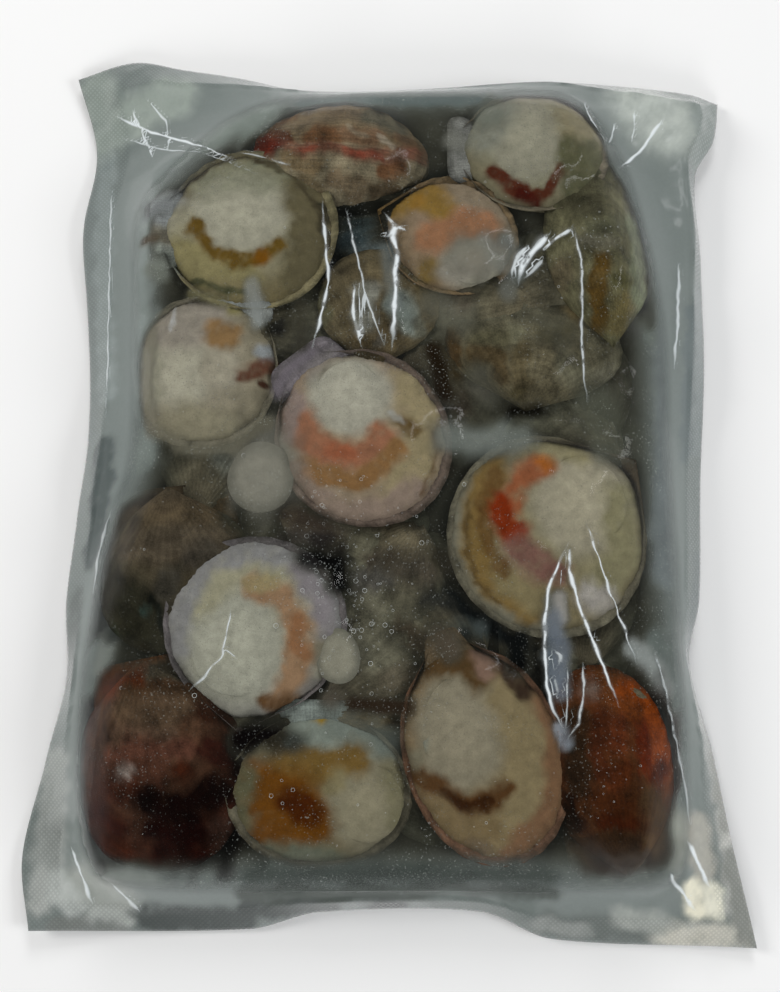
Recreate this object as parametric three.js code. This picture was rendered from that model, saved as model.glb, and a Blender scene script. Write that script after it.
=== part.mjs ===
// A clear vacuum pouch of frozen scallops in the shell, lying on its back sheet.
//
// Millimetres, +Z up. The origin is under the middle of the pouch, on the surface it lies on,
// +X runs across the pouch and +Y along it, towards the welded top edge. The pouch is one closed
// solid: a flat border weld with a wavy edge, and inside it a body of shells and ice that the
// film is drawn tight over. The front follows the shells and the lumps of meat on them.

import * as THREE from 'three';

// Pouch and welds
const WELD_WIDTH = 13; // width of the border weld, measured along the film
const WELD_THICKNESS = 1.0; // both film sheets and the weld between them
const EDGE_HEIGHT = 1.4; // lowest height of the pouch's edge over the surface
const EDGE_RIPPLE = 3.2; // how far the edge waves up and down
const RIPPLE_LENGTH = 86; // length of one wave along the edge
const WELD_SLOPE = 0.8; // share of a narrow-looking weld's width that is drop

// Body of shells and ice
const ICE_LEVEL = 23; // height of the ice between the shells
const TOP_ROUNDING = 15; // width over which the body falls off at its sides, on the front
const BASE_ROUNDING = 11; // the same on the underside
const BODY_MIDDLE = 6; // height at which the body is widest
const VACUUM_CURVE = 1 / 32; // curvature that the vacuum gives the free film, per mm
const DEEP = -1000; // stands for "nothing here holds the film up"

// Grid of the front. The underside has half as many cells each way.
const CELLS_ACROSS = 52;
const CELLS_ALONG = 66;
const RELAX_STEPS = 900;

// The four edges of the pouch. A side edge is pairs of [y, x], a top or bottom edge of [x, y].
const LEFT_EDGE = [
  [-156, -122.5], [-131, -126.5], [-99, -119.5], [-72, -113.5], [-44, -115.5], [-15, -112.5],
  [14, -109.5], [67, -112.5], [94, -114.5], [126, -111.5], [156, -119.5],
];
const RIGHT_EDGE = [
  [-162, 125.5], [-129, 118.5], [-96, 113.5], [-65, 106.5], [-44, 110.5], [14, 114.5],
  [82, 117.5], [116, 116], [130, 123.5], [146, 126.5],
];
const BOTTOM_EDGE = [
  [-122.5, -156], [-47.5, -156], [-23.5, -150], [31.5, -150], [55.5, -159], [125.5, -162],
];
const TOP_EDGE = [
  [-119.5, 156], [-97.5, 162], [-78.5, 159], [-57.5, 156], [-30.5, 151], [12.5, 152],
  [58.5, 154], [81.5, 153], [115.5, 150], [126.5, 146],
];

// How wide each border weld looks from above, along its edge. It looks narrow where the thick
// body draws it down steeply.
const LEFT_WELD = [
  [-156, 12.5], [-120, 13], [-72, 5], [-42, 8.5], [12, 7.5], [98, 12], [156, 13],
];
const RIGHT_WELD = [
  [-162, 12.5], [-115, 9], [-72, 3.5], [-42, 7], [12, 7.5], [68, 6], [105, 4.5], [146, 9],
];
const BOTTOM_WELD = [
  [-122.5, 11], [-47.5, 9], [-23.5, 5.5], [31.5, 5.5], [55.5, 9], [125.5, 11],
];
const TOP_WELD = [
  [-119.5, 13], [-57.5, 8], [-30.5, 5], [58.5, 5], [81.5, 7], [126.5, 9],
];

// Outline of the filled body, anticlockwise from the bottom left, as [x, y].
const BODY_OUTLINE = [
  [-101, -134], [-84, -142], [0, -142], [86, -142], [101, -133], [103, -112], [103.5, -75],
  [102.5, -30], [101.5, 13], [101, 53], [96, 86], [87, 120], [70, 142], [46, 147], [-22, 146],
  [-54, 138], [-80, 118], [-94, 97], [-94, 65], [-93, 9], [-100, -16], [-104.5, -44],
  [-107.5, -79], [-107, -112],
];

// The shellfish against the front film. across and along are half widths, turn is in degrees,
// crown is the height of the highest point and fall is how far the surface drops to the rim.
const SHELLS = [
  { x: -52, y: 85, across: 31, along: 30, turn: 0, crown: 27, fall: 4 },
  { x: -66, y: 34, across: 25, along: 30, turn: 10, crown: 26.5, fall: 3.5 },
  { x: -16, y: 117, across: 32, along: 17, turn: -6, crown: 29.5, fall: 7 },
  { x: 51, y: 117, across: 27, along: 24, turn: 0, crown: 27, fall: 4 },
  { x: 24, y: 85, across: 25, along: 22, turn: 0, crown: 26.5, fall: 3.5 },
  { x: 74, y: 81, across: 22, along: 40, turn: 8, crown: 29, fall: 6 },
  { x: -5, y: 63, across: 21, along: 18, turn: 0, crown: 25, fall: 2 },
  { x: 55, y: 39, across: 33, along: 20, turn: -8, crown: 26, fall: 3 },
  { x: -9, y: 11, across: 30, along: 33, turn: -12, crown: 27.5, fall: 4 },
  { x: 54, y: -23, across: 36, along: 37, turn: 20, crown: 28, fall: 4 },
  { x: -77, y: -36, across: 27, along: 33, turn: 0, crown: 26, fall: 3 },
  { x: -44, y: -53, across: 32, along: 32, turn: 0, crown: 28, fall: 4 },
  { x: -73, y: -107, across: 34, along: 37, turn: -15, crown: 28.5, fall: 6 },
  { x: -22, y: -107, across: 33, along: 27, turn: 0, crown: 26.5, fall: 3.5 },
  { x: 33, y: -96, across: 28, along: 40, turn: 12, crown: 27.5, fall: 4 },
  { x: 78, y: -102, across: 25, along: 39, turn: -6, crown: 29, fall: 6 },
];

// The round muscles, which stand above the rims of the opened shells.
const MUSCLES = [
  { x: -53.5, y: 93.5, across: 16, along: 16, turn: 0, crown: 29, fall: 3.5 },
  { x: -72.5, y: 29, across: 16.5, along: 17, turn: 0, crown: 28.5, fall: 3.5 },
  { x: -60, y: 37, across: 9, along: 9, turn: 0, crown: 28, fall: 2.5 },
  { x: 48.5, y: 117, across: 18, along: 18, turn: 0, crown: 29.5, fall: 4 },
  { x: 32, y: 70, across: 13, along: 11, turn: 0, crown: 27.5, fall: 3 },
  { x: -12.5, y: 23.5, across: 14.5, along: 14.5, turn: 0, crown: 29.5, fall: 3.5 },
  { x: 69, y: -11, across: 19.5, along: 19.5, turn: 0, crown: 30, fall: 3.5 },
  { x: -53, y: -63, across: 18.5, along: 18.5, turn: 0, crown: 30, fall: 3.5 },
  { x: -16.5, y: -63, across: 7.5, along: 8, turn: 0, crown: 28, fall: 2.5 },
  { x: -43, y: -4.5, across: 13, along: 13, turn: 0, crown: 26.5, fall: 3 },
  { x: -5, y: -111, across: 14, along: 14, turn: 0, crown: 28, fall: 3 },
  { x: 23.5, y: -87.5, across: 15.5, along: 20, turn: 0, crown: 29.5, fall: 3.5 },
];

const FILM_COLOUR = 0x868f88;

// A smooth line through hand-set points: cubic pieces whose slope at a point is that of the
// straight line between its two neighbours.
function smoothLine(points, at) {
  const last = points.length - 2;
  let piece = 0;
  while (piece < last && at > points[piece + 1][0]) piece += 1;
  const [startAt, startValue] = points[piece];
  const [endAt, endValue] = points[piece + 1];
  const before = points[Math.max(piece - 1, 0)];
  const after = points[Math.min(piece + 2, points.length - 1)];
  const step = endAt - startAt;
  const startSlope = ((endValue - before[1]) / (endAt - before[0])) * step;
  const endSlope = ((after[1] - startValue) / (after[0] - startAt)) * step;
  const t = Math.min(Math.max((at - startAt) / step, 0), 1);
  return (
    startValue * (2 * t ** 3 - 3 * t ** 2 + 1) +
    startSlope * (t ** 3 - 2 * t ** 2 + t) +
    endValue * (3 * t ** 2 - 2 * t ** 3) +
    endSlope * (t ** 3 - t ** 2)
  );
}

function edgePoint(edge, share) {
  const first = edge[0][0];
  const last = edge[edge.length - 1][0];
  const at = first + (last - first) * share;
  return [at, smoothLine(edge, at)];
}

// Place on the flat pouch of the shares u across it and v along it: the surface patch that is
// stretched between the four edges.
function pouchPlace(u, v) {
  const [leftY, leftX] = edgePoint(LEFT_EDGE, v);
  const [rightY, rightX] = edgePoint(RIGHT_EDGE, v);
  const [bottomX, bottomY] = edgePoint(BOTTOM_EDGE, u);
  const [topX, topY] = edgePoint(TOP_EDGE, u);
  const corners = [[BOTTOM_EDGE, 0], [BOTTOM_EDGE, 1], [TOP_EDGE, 0], [TOP_EDGE, 1]];
  const shares = [(1 - u) * (1 - v), u * (1 - v), (1 - u) * v, u * v];
  let x = (1 - v) * bottomX + v * topX + (1 - u) * leftX + u * rightX;
  let y = (1 - v) * bottomY + v * topY + (1 - u) * leftY + u * rightY;
  corners.forEach(([edge, end], k) => {
    const [cornerX, cornerY] = edgePoint(edge, end);
    x -= shares[k] * cornerX;
    y -= shares[k] * cornerY;
  });
  return [x, y];
}

// The filled body's outline, rounded through its points.
const bodyCurve = new THREE.CatmullRomCurve3(
  BODY_OUTLINE.map(([x, y]) => new THREE.Vector3(x, y, 0)),
  true,
);
const bodyRing = bodyCurve.getPoints(BODY_OUTLINE.length * 6);

// Distance of a place inside the body from the body's outline, 0 outside it.
function depthInBody(x, y) {
  let inside = false;
  let nearest = Infinity;
  for (let i = 0; i < bodyRing.length - 1; i += 1) {
    const from = bodyRing[i];
    const to = bodyRing[i + 1];
    if (from.y > y !== to.y > y && x < ((to.x - from.x) * (y - from.y)) / (to.y - from.y) + from.x) {
      inside = !inside;
    }
    const alongX = to.x - from.x;
    const alongY = to.y - from.y;
    const share = ((x - from.x) * alongX + (y - from.y) * alongY) / (alongX ** 2 + alongY ** 2);
    const held = Math.min(Math.max(share, 0), 1);
    nearest = Math.min(nearest, Math.hypot(x - from.x - held * alongX, y - from.y - held * alongY));
  }
  return inside ? nearest : 0;
}

// A quarter-round from 0 at the edge to 1 at the given width.
function quarterRound(depth, width) {
  const left = Math.max(1 - depth / width, 0);
  return Math.sqrt(1 - left ** 2);
}

// The border at a place: how far in from the edge, as a share of the weld's width there, and
// the height of its middle plane, which climbs from the edge to the body.
function borderAt(u, v) {
  const [x, y] = pouchPlace(u, v);
  const width = pouchPlace(1, v)[0] - pouchPlace(0, v)[0];
  const length = pouchPlace(u, 1)[1] - pouchPlace(u, 0)[1];
  const sides = [
    { away: u * width, weld: smoothLine(LEFT_WELD, y) },
    { away: (1 - u) * width, weld: smoothLine(RIGHT_WELD, y) },
    { away: v * length, weld: smoothLine(BOTTOM_WELD, x) },
    { away: (1 - v) * length, weld: smoothLine(TOP_WELD, x) },
  ];
  let climb = 0;
  let weights = 0;
  sides.forEach(({ away, weld }) => {
    const weight = (away / weld + 0.05) ** -3;
    climb += weight * WELD_SLOPE * Math.sqrt(Math.max(WELD_WIDTH ** 2 - weld ** 2, 0));
    weights += weight;
  });
  const share = Math.min(...sides.map(({ away, weld }) => away / weld));
  const ripple = 0.5 + 0.5 * Math.sin(((y + 0.6 * x) / RIPPLE_LENGTH) * 2 * Math.PI);
  const edge = EDGE_HEIGHT + EDGE_RIPPLE * ripple;
  return { x, y, share, middle: edge + Math.min(share, 1) * (climb / weights) };
}

function lumpHeight(lump, x, y) {
  const turn = THREE.MathUtils.degToRad(lump.turn);
  const dx = x - lump.x;
  const dy = y - lump.y;
  const across = (dx * Math.cos(turn) + dy * Math.sin(turn)) / lump.across;
  const along = (dy * Math.cos(turn) - dx * Math.sin(turn)) / lump.along;
  const reach = Math.hypot(across, along);
  return reach < 1 ? lump.crown - lump.fall * reach ** 3 : DEEP;
}

// What the front film lies on at a place: the ice, the shells and the meat.
function contentsHeight(x, y) {
  const round = quarterRound(depthInBody(x, y), TOP_ROUNDING);
  if (round === 0) return DEEP;
  const lumps = [...SHELLS, ...MUSCLES].map((lump) => lumpHeight(lump, x, y));
  return BODY_MIDDLE + (Math.max(ICE_LEVEL, ...lumps) - BODY_MIDDLE) * round;
}

function undersideHeight(x, y) {
  const depth = depthInBody(x, y);
  return depth === 0 ? -DEEP : BODY_MIDDLE * (1 - quarterRound(depth, BASE_ROUNDING));
}

// A film sheet as a grid of places. side is 1 for the front and -1 for the underside. The front
// lies on the border's plane in the weld, and the underside meets it at the pouch's edge. Inside
// them each sheet is a stretched skin over what it holds.
function filmSheet(across, along, side, support) {
  const sheet = [];
  for (let j = 0; j <= along; j += 1) {
    for (let i = 0; i <= across; i += 1) {
      const { x, y, share, middle } = borderAt(i / across, j / along);
      const weld = middle + (side * WELD_THICKNESS) / 2;
      const isFixed = share === 0 || (side > 0 && share < 1);
      const limit = isFixed ? weld : side * Math.max(side * support(x, y), side * weld);
      sheet.push({ x, y, z: limit, limit, isFixed });
    }
  }
  const step = (LEFT_EDGE[LEFT_EDGE.length - 1][0] - LEFT_EDGE[0][0]) / along;
  const pull = (side * VACUUM_CURVE * step ** 2) / 4;
  const row = across + 1;
  for (let pass = 0; pass < RELAX_STEPS; pass += 1) {
    sheet.forEach((spot, at) => {
      if (spot.isFixed) return;
      const around = sheet[at - 1].z + sheet[at + 1].z + sheet[at - row].z + sheet[at + row].z;
      spot.z = side * Math.max(side * (around / 4 - pull), side * spot.limit);
    });
  }
  return sheet;
}

// Keeps the finer front a film's thickness clear of the coarser underside everywhere.
function liftFront(front, back) {
  const row = CELLS_ACROSS / 2 + 1;
  front.forEach((spot, at) => {
    const i = (at % (CELLS_ACROSS + 1)) / 2;
    const j = Math.floor(at / (CELLS_ACROSS + 1)) / 2;
    const corners = [Math.floor(j), Math.ceil(j)].flatMap((v) => [
      back[v * row + Math.floor(i)].z,
      back[v * row + Math.ceil(i)].z,
    ]);
    const under = corners.reduce((sum, z) => sum + z) / corners.length;
    spot.z = Math.max(spot.z, under + WELD_THICKNESS);
  });
}

function sheetFaces(across, along, firstVertex, facesUp) {
  const faces = [];
  const row = across + 1;
  for (let j = 0; j < along; j += 1) {
    for (let i = 0; i < across; i += 1) {
      const a = firstVertex + j * row + i;
      const [b, c, d] = [a + 1, a + row + 1, a + row];
      const halves = (i + j) % 2 ? [[a, b, c], [a, c, d]] : [[a, b, d], [b, c, d]];
      halves.forEach((face) => faces.push(facesUp ? face : [face[0], face[2], face[1]]));
    }
  }
  return faces;
}

// The vertices round a sheet's edge, anticlockwise from the bottom left corner.
function rimLoop(across, along, firstVertex) {
  const row = across + 1;
  const loop = [];
  for (let i = 0; i < across; i += 1) loop.push(firstVertex + i);
  for (let j = 0; j < along; j += 1) loop.push(firstVertex + j * row + across);
  for (let i = across; i > 0; i -= 1) loop.push(firstVertex + along * row + i);
  for (let j = along; j > 0; j -= 1) loop.push(firstVertex + j * row);
  return loop;
}

// The thin wall that joins a rim to one with half as many points below it.
function rimFaces(upper, lower) {
  const faces = [];
  lower.forEach((low, k) => {
    const nextLow = lower[(k + 1) % lower.length];
    const [start, middle, end] = [upper[2 * k], upper[2 * k + 1], upper[(2 * k + 2) % upper.length]];
    faces.push([start, low, middle], [low, nextLow, middle], [middle, nextLow, end]);
  });
  return faces;
}

function pouchGeometry() {
  const front = filmSheet(CELLS_ACROSS, CELLS_ALONG, 1, contentsHeight);
  const back = filmSheet(CELLS_ACROSS / 2, CELLS_ALONG / 2, -1, undersideHeight);
  liftFront(front, back);
  const faces = [
    ...sheetFaces(CELLS_ACROSS, CELLS_ALONG, 0, true),
    ...sheetFaces(CELLS_ACROSS / 2, CELLS_ALONG / 2, front.length, false),
    ...rimFaces(
      rimLoop(CELLS_ACROSS, CELLS_ALONG, 0),
      rimLoop(CELLS_ACROSS / 2, CELLS_ALONG / 2, front.length),
    ),
  ];
  const geometry = new THREE.BufferGeometry();
  const places = [...front, ...back].flatMap(({ x, y, z }) => [x, y, z]);
  geometry.setAttribute('position', new THREE.Float32BufferAttribute(places, 3));
  geometry.setIndex(faces.flat());
  geometry.computeVertexNormals();
  return geometry;
}

const pouch = new THREE.Mesh(
  pouchGeometry(),
  new THREE.MeshStandardMaterial({ color: FILM_COLOUR, roughness: 0.22, metalness: 0 }),
);
pouch.name = 'vacuum_pouch';

const group = new THREE.Group();
group.add(pouch);

export default group;
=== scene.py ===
import math

import bmesh
import bpy
import numpy as np
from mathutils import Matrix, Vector
from mathutils.bvhtree import BVHTree


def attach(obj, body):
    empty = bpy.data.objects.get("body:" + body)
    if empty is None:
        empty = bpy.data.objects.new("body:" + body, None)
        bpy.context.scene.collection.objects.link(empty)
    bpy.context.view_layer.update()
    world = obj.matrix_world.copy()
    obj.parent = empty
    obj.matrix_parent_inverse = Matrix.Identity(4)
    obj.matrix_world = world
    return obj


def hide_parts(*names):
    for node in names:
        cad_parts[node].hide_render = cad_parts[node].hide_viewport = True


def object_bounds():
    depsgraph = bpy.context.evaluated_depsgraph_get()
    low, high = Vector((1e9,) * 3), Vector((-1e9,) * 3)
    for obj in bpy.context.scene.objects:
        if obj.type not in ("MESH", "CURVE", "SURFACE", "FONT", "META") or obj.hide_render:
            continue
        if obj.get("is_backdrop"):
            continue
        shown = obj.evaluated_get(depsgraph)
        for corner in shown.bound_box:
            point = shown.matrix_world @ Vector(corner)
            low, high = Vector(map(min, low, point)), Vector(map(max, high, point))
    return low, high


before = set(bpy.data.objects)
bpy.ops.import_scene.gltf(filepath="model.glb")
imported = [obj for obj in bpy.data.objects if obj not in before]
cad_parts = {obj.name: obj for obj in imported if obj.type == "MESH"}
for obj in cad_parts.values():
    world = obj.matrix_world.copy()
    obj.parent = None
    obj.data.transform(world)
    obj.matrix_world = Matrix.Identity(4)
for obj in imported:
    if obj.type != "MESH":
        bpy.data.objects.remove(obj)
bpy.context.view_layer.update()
scene = bpy.context.scene


# ---------------------------------------------------------------------------------------------
# Setting
# A plain pale table, a soft room and a few lamps. The lens hangs over the pouch, tipped a little
# towards its lower edge.

def linear(red, green, blue):
    """A screen colour from 0 to 255, as light."""
    shares = np.array([red, green, blue]) / 255
    return np.where(shares < 0.04045, shares / 12.92, ((shares + 0.055) / 1.055) ** 2.4)


class Graph:
    """Adds nodes to a material, a world or a node group."""

    def __init__(self, tree):
        self.tree = tree

    def add(self, kind, wires=None, **settings):
        node = self.tree.nodes.new(kind)
        for name, value in settings.items():
            setattr(node, name, value)
        for name, value in (wires or {}).items():
            if isinstance(value, bpy.types.NodeSocket):
                self.tree.links.new(value, node.inputs[name])
            else:
                node.inputs[name].default_value = value
        return node

    def value(self, operation, *terms):
        return self.add("ShaderNodeMath", dict(enumerate(terms)), operation=operation).outputs[0]

    def scaled(self, term, gain, shift):
        return self.value("ADD", self.value("MULTIPLY", term, gain), shift)

    def blend(self, share, low, high):
        """Colour low where share is 0, high where it is 1."""
        high = (*high, 1)
        return self.add("ShaderNodeMix", {0: share, 6: low, 7: high}, data_type="RGBA").outputs[2]

    def brighten(self, colour, gain):
        node = self.add("ShaderNodeVectorMath", {0: colour}, operation="SCALE")
        self.tree.links.new(gain, node.inputs["Scale"])
        return node.outputs[0]

    def noise(self, where, scale, detail):
        wires = {"Vector": where, "Scale": scale, "Detail": detail}
        return self.add("ShaderNodeTexNoise", wires).outputs[0]

    def between(self, value, low, high, kind="LINEAR"):
        """0 where value is low, 1 where it is high, and a ramp between them."""
        wires = {"Value": value, "From Min": low, "From Max": high}
        return self.add("ShaderNodeMapRange", wires, interpolation_type=kind).outputs[0]

    def see_through(self):
        return self.add("ShaderNodeBsdfTransparent", {"Color": (1, 1, 1, 1)}).outputs[0]

    def ramp(self, share, *stops):
        node = self.add("ShaderNodeValToRGB", {"Fac": share})
        marks = node.color_ramp.elements
        while len(marks) < len(stops):
            marks.new(0.5)
        for mark, (place, level) in zip(marks, stops):
            mark.position = place
            mark.color = (level, level, level, 1)
        return node.outputs["Color"]


def material_graph(name):
    material = bpy.data.materials.new(name)
    material.use_nodes = True
    material.node_tree.nodes.clear()
    return material, Graph(material.node_tree)


def finish_graph(graph, surface):
    graph.add("ShaderNodeOutputMaterial", {"Surface": surface})


MM_PER_M = 1000


def object_from(bm, name, material):
    """Turns modelled millimetres into an object in metres."""
    bmesh.ops.scale(bm, vec=(1 / MM_PER_M,) * 3, verts=bm.verts)
    mesh = bpy.data.meshes.new(name)
    bm.to_mesh(mesh)
    bm.free()
    mesh.shade_smooth()
    mesh.materials.append(material)
    piece = bpy.data.objects.new(name, mesh)
    scene.collection.objects.link(piece)
    return piece


table_material, graph = material_graph("table_white")
surface = graph.add(
    "ShaderNodeBsdfPrincipled", {"Base Color": (0.95, 0.95, 0.95, 1), "Roughness": 0.9}
)
finish_graph(graph, surface.outputs[0])
bm = bmesh.new()
bmesh.ops.create_grid(bm, x_segments=1, y_segments=1, size=2500)
bmesh.ops.translate(bm, vec=(0, 0, -0.25), verts=bm.verts)
floor = object_from(bm, "table_top", table_material)
floor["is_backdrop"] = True

scene.world = bpy.data.worlds.new("room")
scene.world.use_nodes = True
scene.world.node_tree.nodes.clear()
graph = Graph(scene.world.node_tree)
direction = graph.add("ShaderNodeTexCoord").outputs["Generated"]
height = graph.add("ShaderNodeSeparateXYZ", {0: direction}).outputs[2]
sky = graph.ramp(height, (0.0, 0.5), (0.3, 0.5), (0.5, 0.35), (0.7, 0.12), (0.9, 0.02), (1.0, 0.02))
room = graph.add("ShaderNodeBackground", {"Color": sky, "Strength": 1.2})
graph.add("ShaderNodeOutputWorld", {"Surface": room.outputs[0]})


def lamp(name, place, width, length, watts, colour=(1, 1, 1), mirrored=False):
    """A lamp turned to the pouch. Only a mirrored one shows in the gloss of the film."""
    light = bpy.data.lights.new(name, "AREA")
    light.shape = "RECTANGLE"
    light.size = width
    light.size_y = length
    light.energy = watts
    light.color = colour
    holder = bpy.data.objects.new(name, light)
    holder.location = place
    holder.rotation_euler = (-Vector(place)).to_track_quat("-Z", "Y").to_euler()
    holder.visible_glossy = mirrored
    scene.collection.objects.link(holder)


lamp("left_softbox", (-1.15, 0.35, 0.75), 0.5, 0.5, 8.7, (1.0, 0.99, 0.97))
lamp("right_softbox", (1.15, -0.25, 0.75), 0.5, 0.5, 7.2, (0.97, 0.99, 1.0))
lamp("upper_softbox", (0.1, 1.2, 0.75), 0.5, 0.5, 7.2)
lamp("lower_softbox", (-0.1, -1.3, 0.75), 0.5, 0.5, 6.4)
lamp("ceiling_tube", (0.42, 0.35, 0.72), 0.02, 0.4, 0.09, mirrored=True)

camera = bpy.data.objects.new("camera", bpy.data.cameras.new("camera"))
camera.data.lens = 38.6
camera.data.clip_start = 0.01
camera.location = (0.0005, -0.06384, 0.38443)
camera.rotation_euler = (math.radians(8.6), 0, 0)
scene.collection.objects.link(camera)
scene.camera = camera
scene.view_settings.view_transform = "Standard"
scene.cycles.transparent_max_bounces = 24


# ---------------------------------------------------------------------------------------------
# Scallop shells
# Limy fan-shaped valves, 50 to 75 mm across, with ribs from the hinge to the rim, growth rings
# and a small ear on either side of the hinge. They lie frozen in the ice, rims against the film.

# Cosine of the angle between the hinge and the end of the straight shoulders is 1 / HINGE.
HINGE = 1.2
SHOULDER = math.acos(1 / HINGE)
RNG = np.random.default_rng(7)
MERGE_DISTANCE = 0.004
SHELL_WALL = 1.3


def wobble(x, y, size, seed):
    """Smooth unevenness from -1 to 1, with lumps of about the given size."""
    draws = np.random.default_rng(seed)
    total = np.zeros_like(x, dtype=float)
    for _ in range(9):
        angle = draws.uniform(0, 2 * math.pi)
        pitch = 2 * math.pi / (size * draws.uniform(0.7, 1.7))
        total += np.sin(pitch * (x * math.cos(angle) + y * math.sin(angle)) + draws.uniform(0, 6.3))
    return total / 4.5


def soft_step(low, high, value):
    share = np.clip((value - low) / (high - low), 0, 1)
    return share * share * (3 - 2 * share)


def line_distance(x, y, line):
    """Distance of places from a line through given points."""
    line = np.array(line, dtype=float).reshape(-1, 2)
    if len(line) == 1:
        return np.hypot(x - line[0, 0], y - line[0, 1])
    nearest = np.full(x.shape, np.inf)
    for (x0, y0), (x1, y1) in zip(line, line[1:]):
        length = (x1 - x0) ** 2 + (y1 - y0) ** 2
        share = np.clip(((x - x0) * (x1 - x0) + (y - y0) * (y1 - y0)) / length, 0, 1)
        nearest = np.minimum(nearest, np.hypot(x - x0 - share * (x1 - x0), y - y0 - share * (y1 - y0)))
    return nearest


def paint(x, y, tint, strokes):
    """Lays soft strokes of colour over a tint. A stroke is its line, half width, colour, and then
    how strong it is and how far it stands up, where those aren't 1 and 0. Returns tint and relief."""
    tint = tint.copy()
    relief = np.zeros(x.shape)
    bent_x = x + 1.3 * wobble(x, y, 11, 5) + 0.5 * wobble(x, y, 4, 6)
    bent_y = y + 1.3 * wobble(x, y, 11, 7) + 0.5 * wobble(x, y, 4, 8)
    uneven = 1.1 + 0.2 * wobble(x, y, 6, 9) + 0.14 * wobble(x, y, 2.6, 10)
    for line, half_width, colour, *rest in strokes:
        strength = rest[0] if rest else 1
        away = line_distance(bent_x, bent_y, line) / half_width
        mask = np.clip(1.3 - 1.3 * soft_step(0.2, 1.75, away), 0, 1)
        share = np.clip(mask * strength * uneven, 0, 1)[..., None]
        tint = tint * (1 - share) + linear(*colour) * share
        if len(rest) > 1:
            relief += 0.7 * rest[1] * mask
    return tint, relief


def outline(angle):
    """Reach of a scallop's outline, in shares of its radius, at an angle from its hinge."""
    angle = np.abs(angle)
    return np.where(angle < SHOULDER, 1 / np.cos(SHOULDER - angle), 1.0)


def crevice(x, y, shells):
    """How deep in the shade beside some shells a place is, from 0 to 1. Hazy shells, whose rims
    lie in cloudy ice, cast none."""
    shade = np.zeros(np.shape(x))
    for shell in shells:
        if shell.get("hazy"):
            continue
        hinge = math.radians(shell["hinge"])
        dx, dy = x - shell["x"], y - shell["y"]
        across = (dx * math.sin(hinge) - dy * math.cos(hinge)) / shell["across"]
        along = (dx * math.cos(hinge) + dy * math.sin(hinge)) / shell["along"]
        beyond = (np.hypot(across, along) / outline(np.arctan2(across, along)) - 1) * shell["across"]
        shade = np.maximum(shade, np.exp(-(np.maximum(beyond, 0) / 3.2) ** 2))
    return shade


class Pile:
    """Shapes of one kind, joined into one mesh. Tint is the colour at a vertex, and Grain holds
    where it lies in the growth pattern."""

    def __init__(self):
        self.bm = bmesh.new()
        self.tint = self.bm.verts.layers.float_color.new("Tint")
        self.grain = self.bm.verts.layers.float_vector.new("Grain")

    def place(self, verts, places, tint, grain):
        for vert, spot, colour, pattern in zip(verts, places, tint, grain):
            vert.co = spot
            vert[self.tint] = (*colour, 1)
            vert[self.grain] = pattern

    def skin(self, top, bottom, tint, under_tint, grain):
        """Two sheets of the same grid, closed round their edge."""
        rows, columns = top.shape[:2]
        verts = []
        for sheet, colours in ((top, tint), (bottom, under_tint)):
            made = bmesh.ops.create_grid(self.bm, x_segments=columns - 1, y_segments=rows - 1, size=1)
            self.place(made["verts"], sheet.reshape(-1, 3), colours.reshape(-1, 3), grain.reshape(-1, 3))
            verts += made["verts"]
        bmesh.ops.remove_doubles(self.bm, verts=verts, dist=MERGE_DISTANCE)
        verts = [vert for vert in verts if vert.is_valid]
        faces = list({face for vert in verts for face in vert.link_faces})
        bmesh.ops.recalc_face_normals(self.bm, faces=faces)

    def ball(self, segments, rings, warp):
        """A grid closed to a ball that warp turns into a shape. warp gets the ball's places and
        gives places, tint and grain."""
        angle, polar = np.meshgrid(np.linspace(0, 2 * math.pi, segments + 1),
                                   np.linspace(math.pi, 0, rings + 1))
        unit = np.stack([np.cos(angle) * np.sin(polar), np.sin(angle) * np.sin(polar),
                         np.cos(polar)], axis=-1).reshape(-1, 3)
        made = bmesh.ops.create_grid(self.bm, x_segments=segments, y_segments=rings, size=1)
        self.place(made["verts"], *warp(unit))
        bmesh.ops.remove_doubles(self.bm, verts=made["verts"], dist=MERGE_DISTANCE)


def set_down(shell, across, along, height):
    """Places of a shell's own drawing: across it, along it towards the hinge, and height."""
    hinge = math.radians(shell["hinge"])
    x = across * shell["across"]
    y = along * shell["along"]
    world_x = shell["x"] + x * math.sin(hinge) + y * math.cos(hinge)
    world_y = shell["y"] - x * math.cos(hinge) + y * math.sin(hinge)
    lean_x, lean_y = shell.get("lean", (0, 0))
    height = height + lean_x * (world_x - shell["x"]) + lean_y * (world_y - shell["y"])
    return np.stack([world_x, world_y, height], axis=-1)


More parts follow.
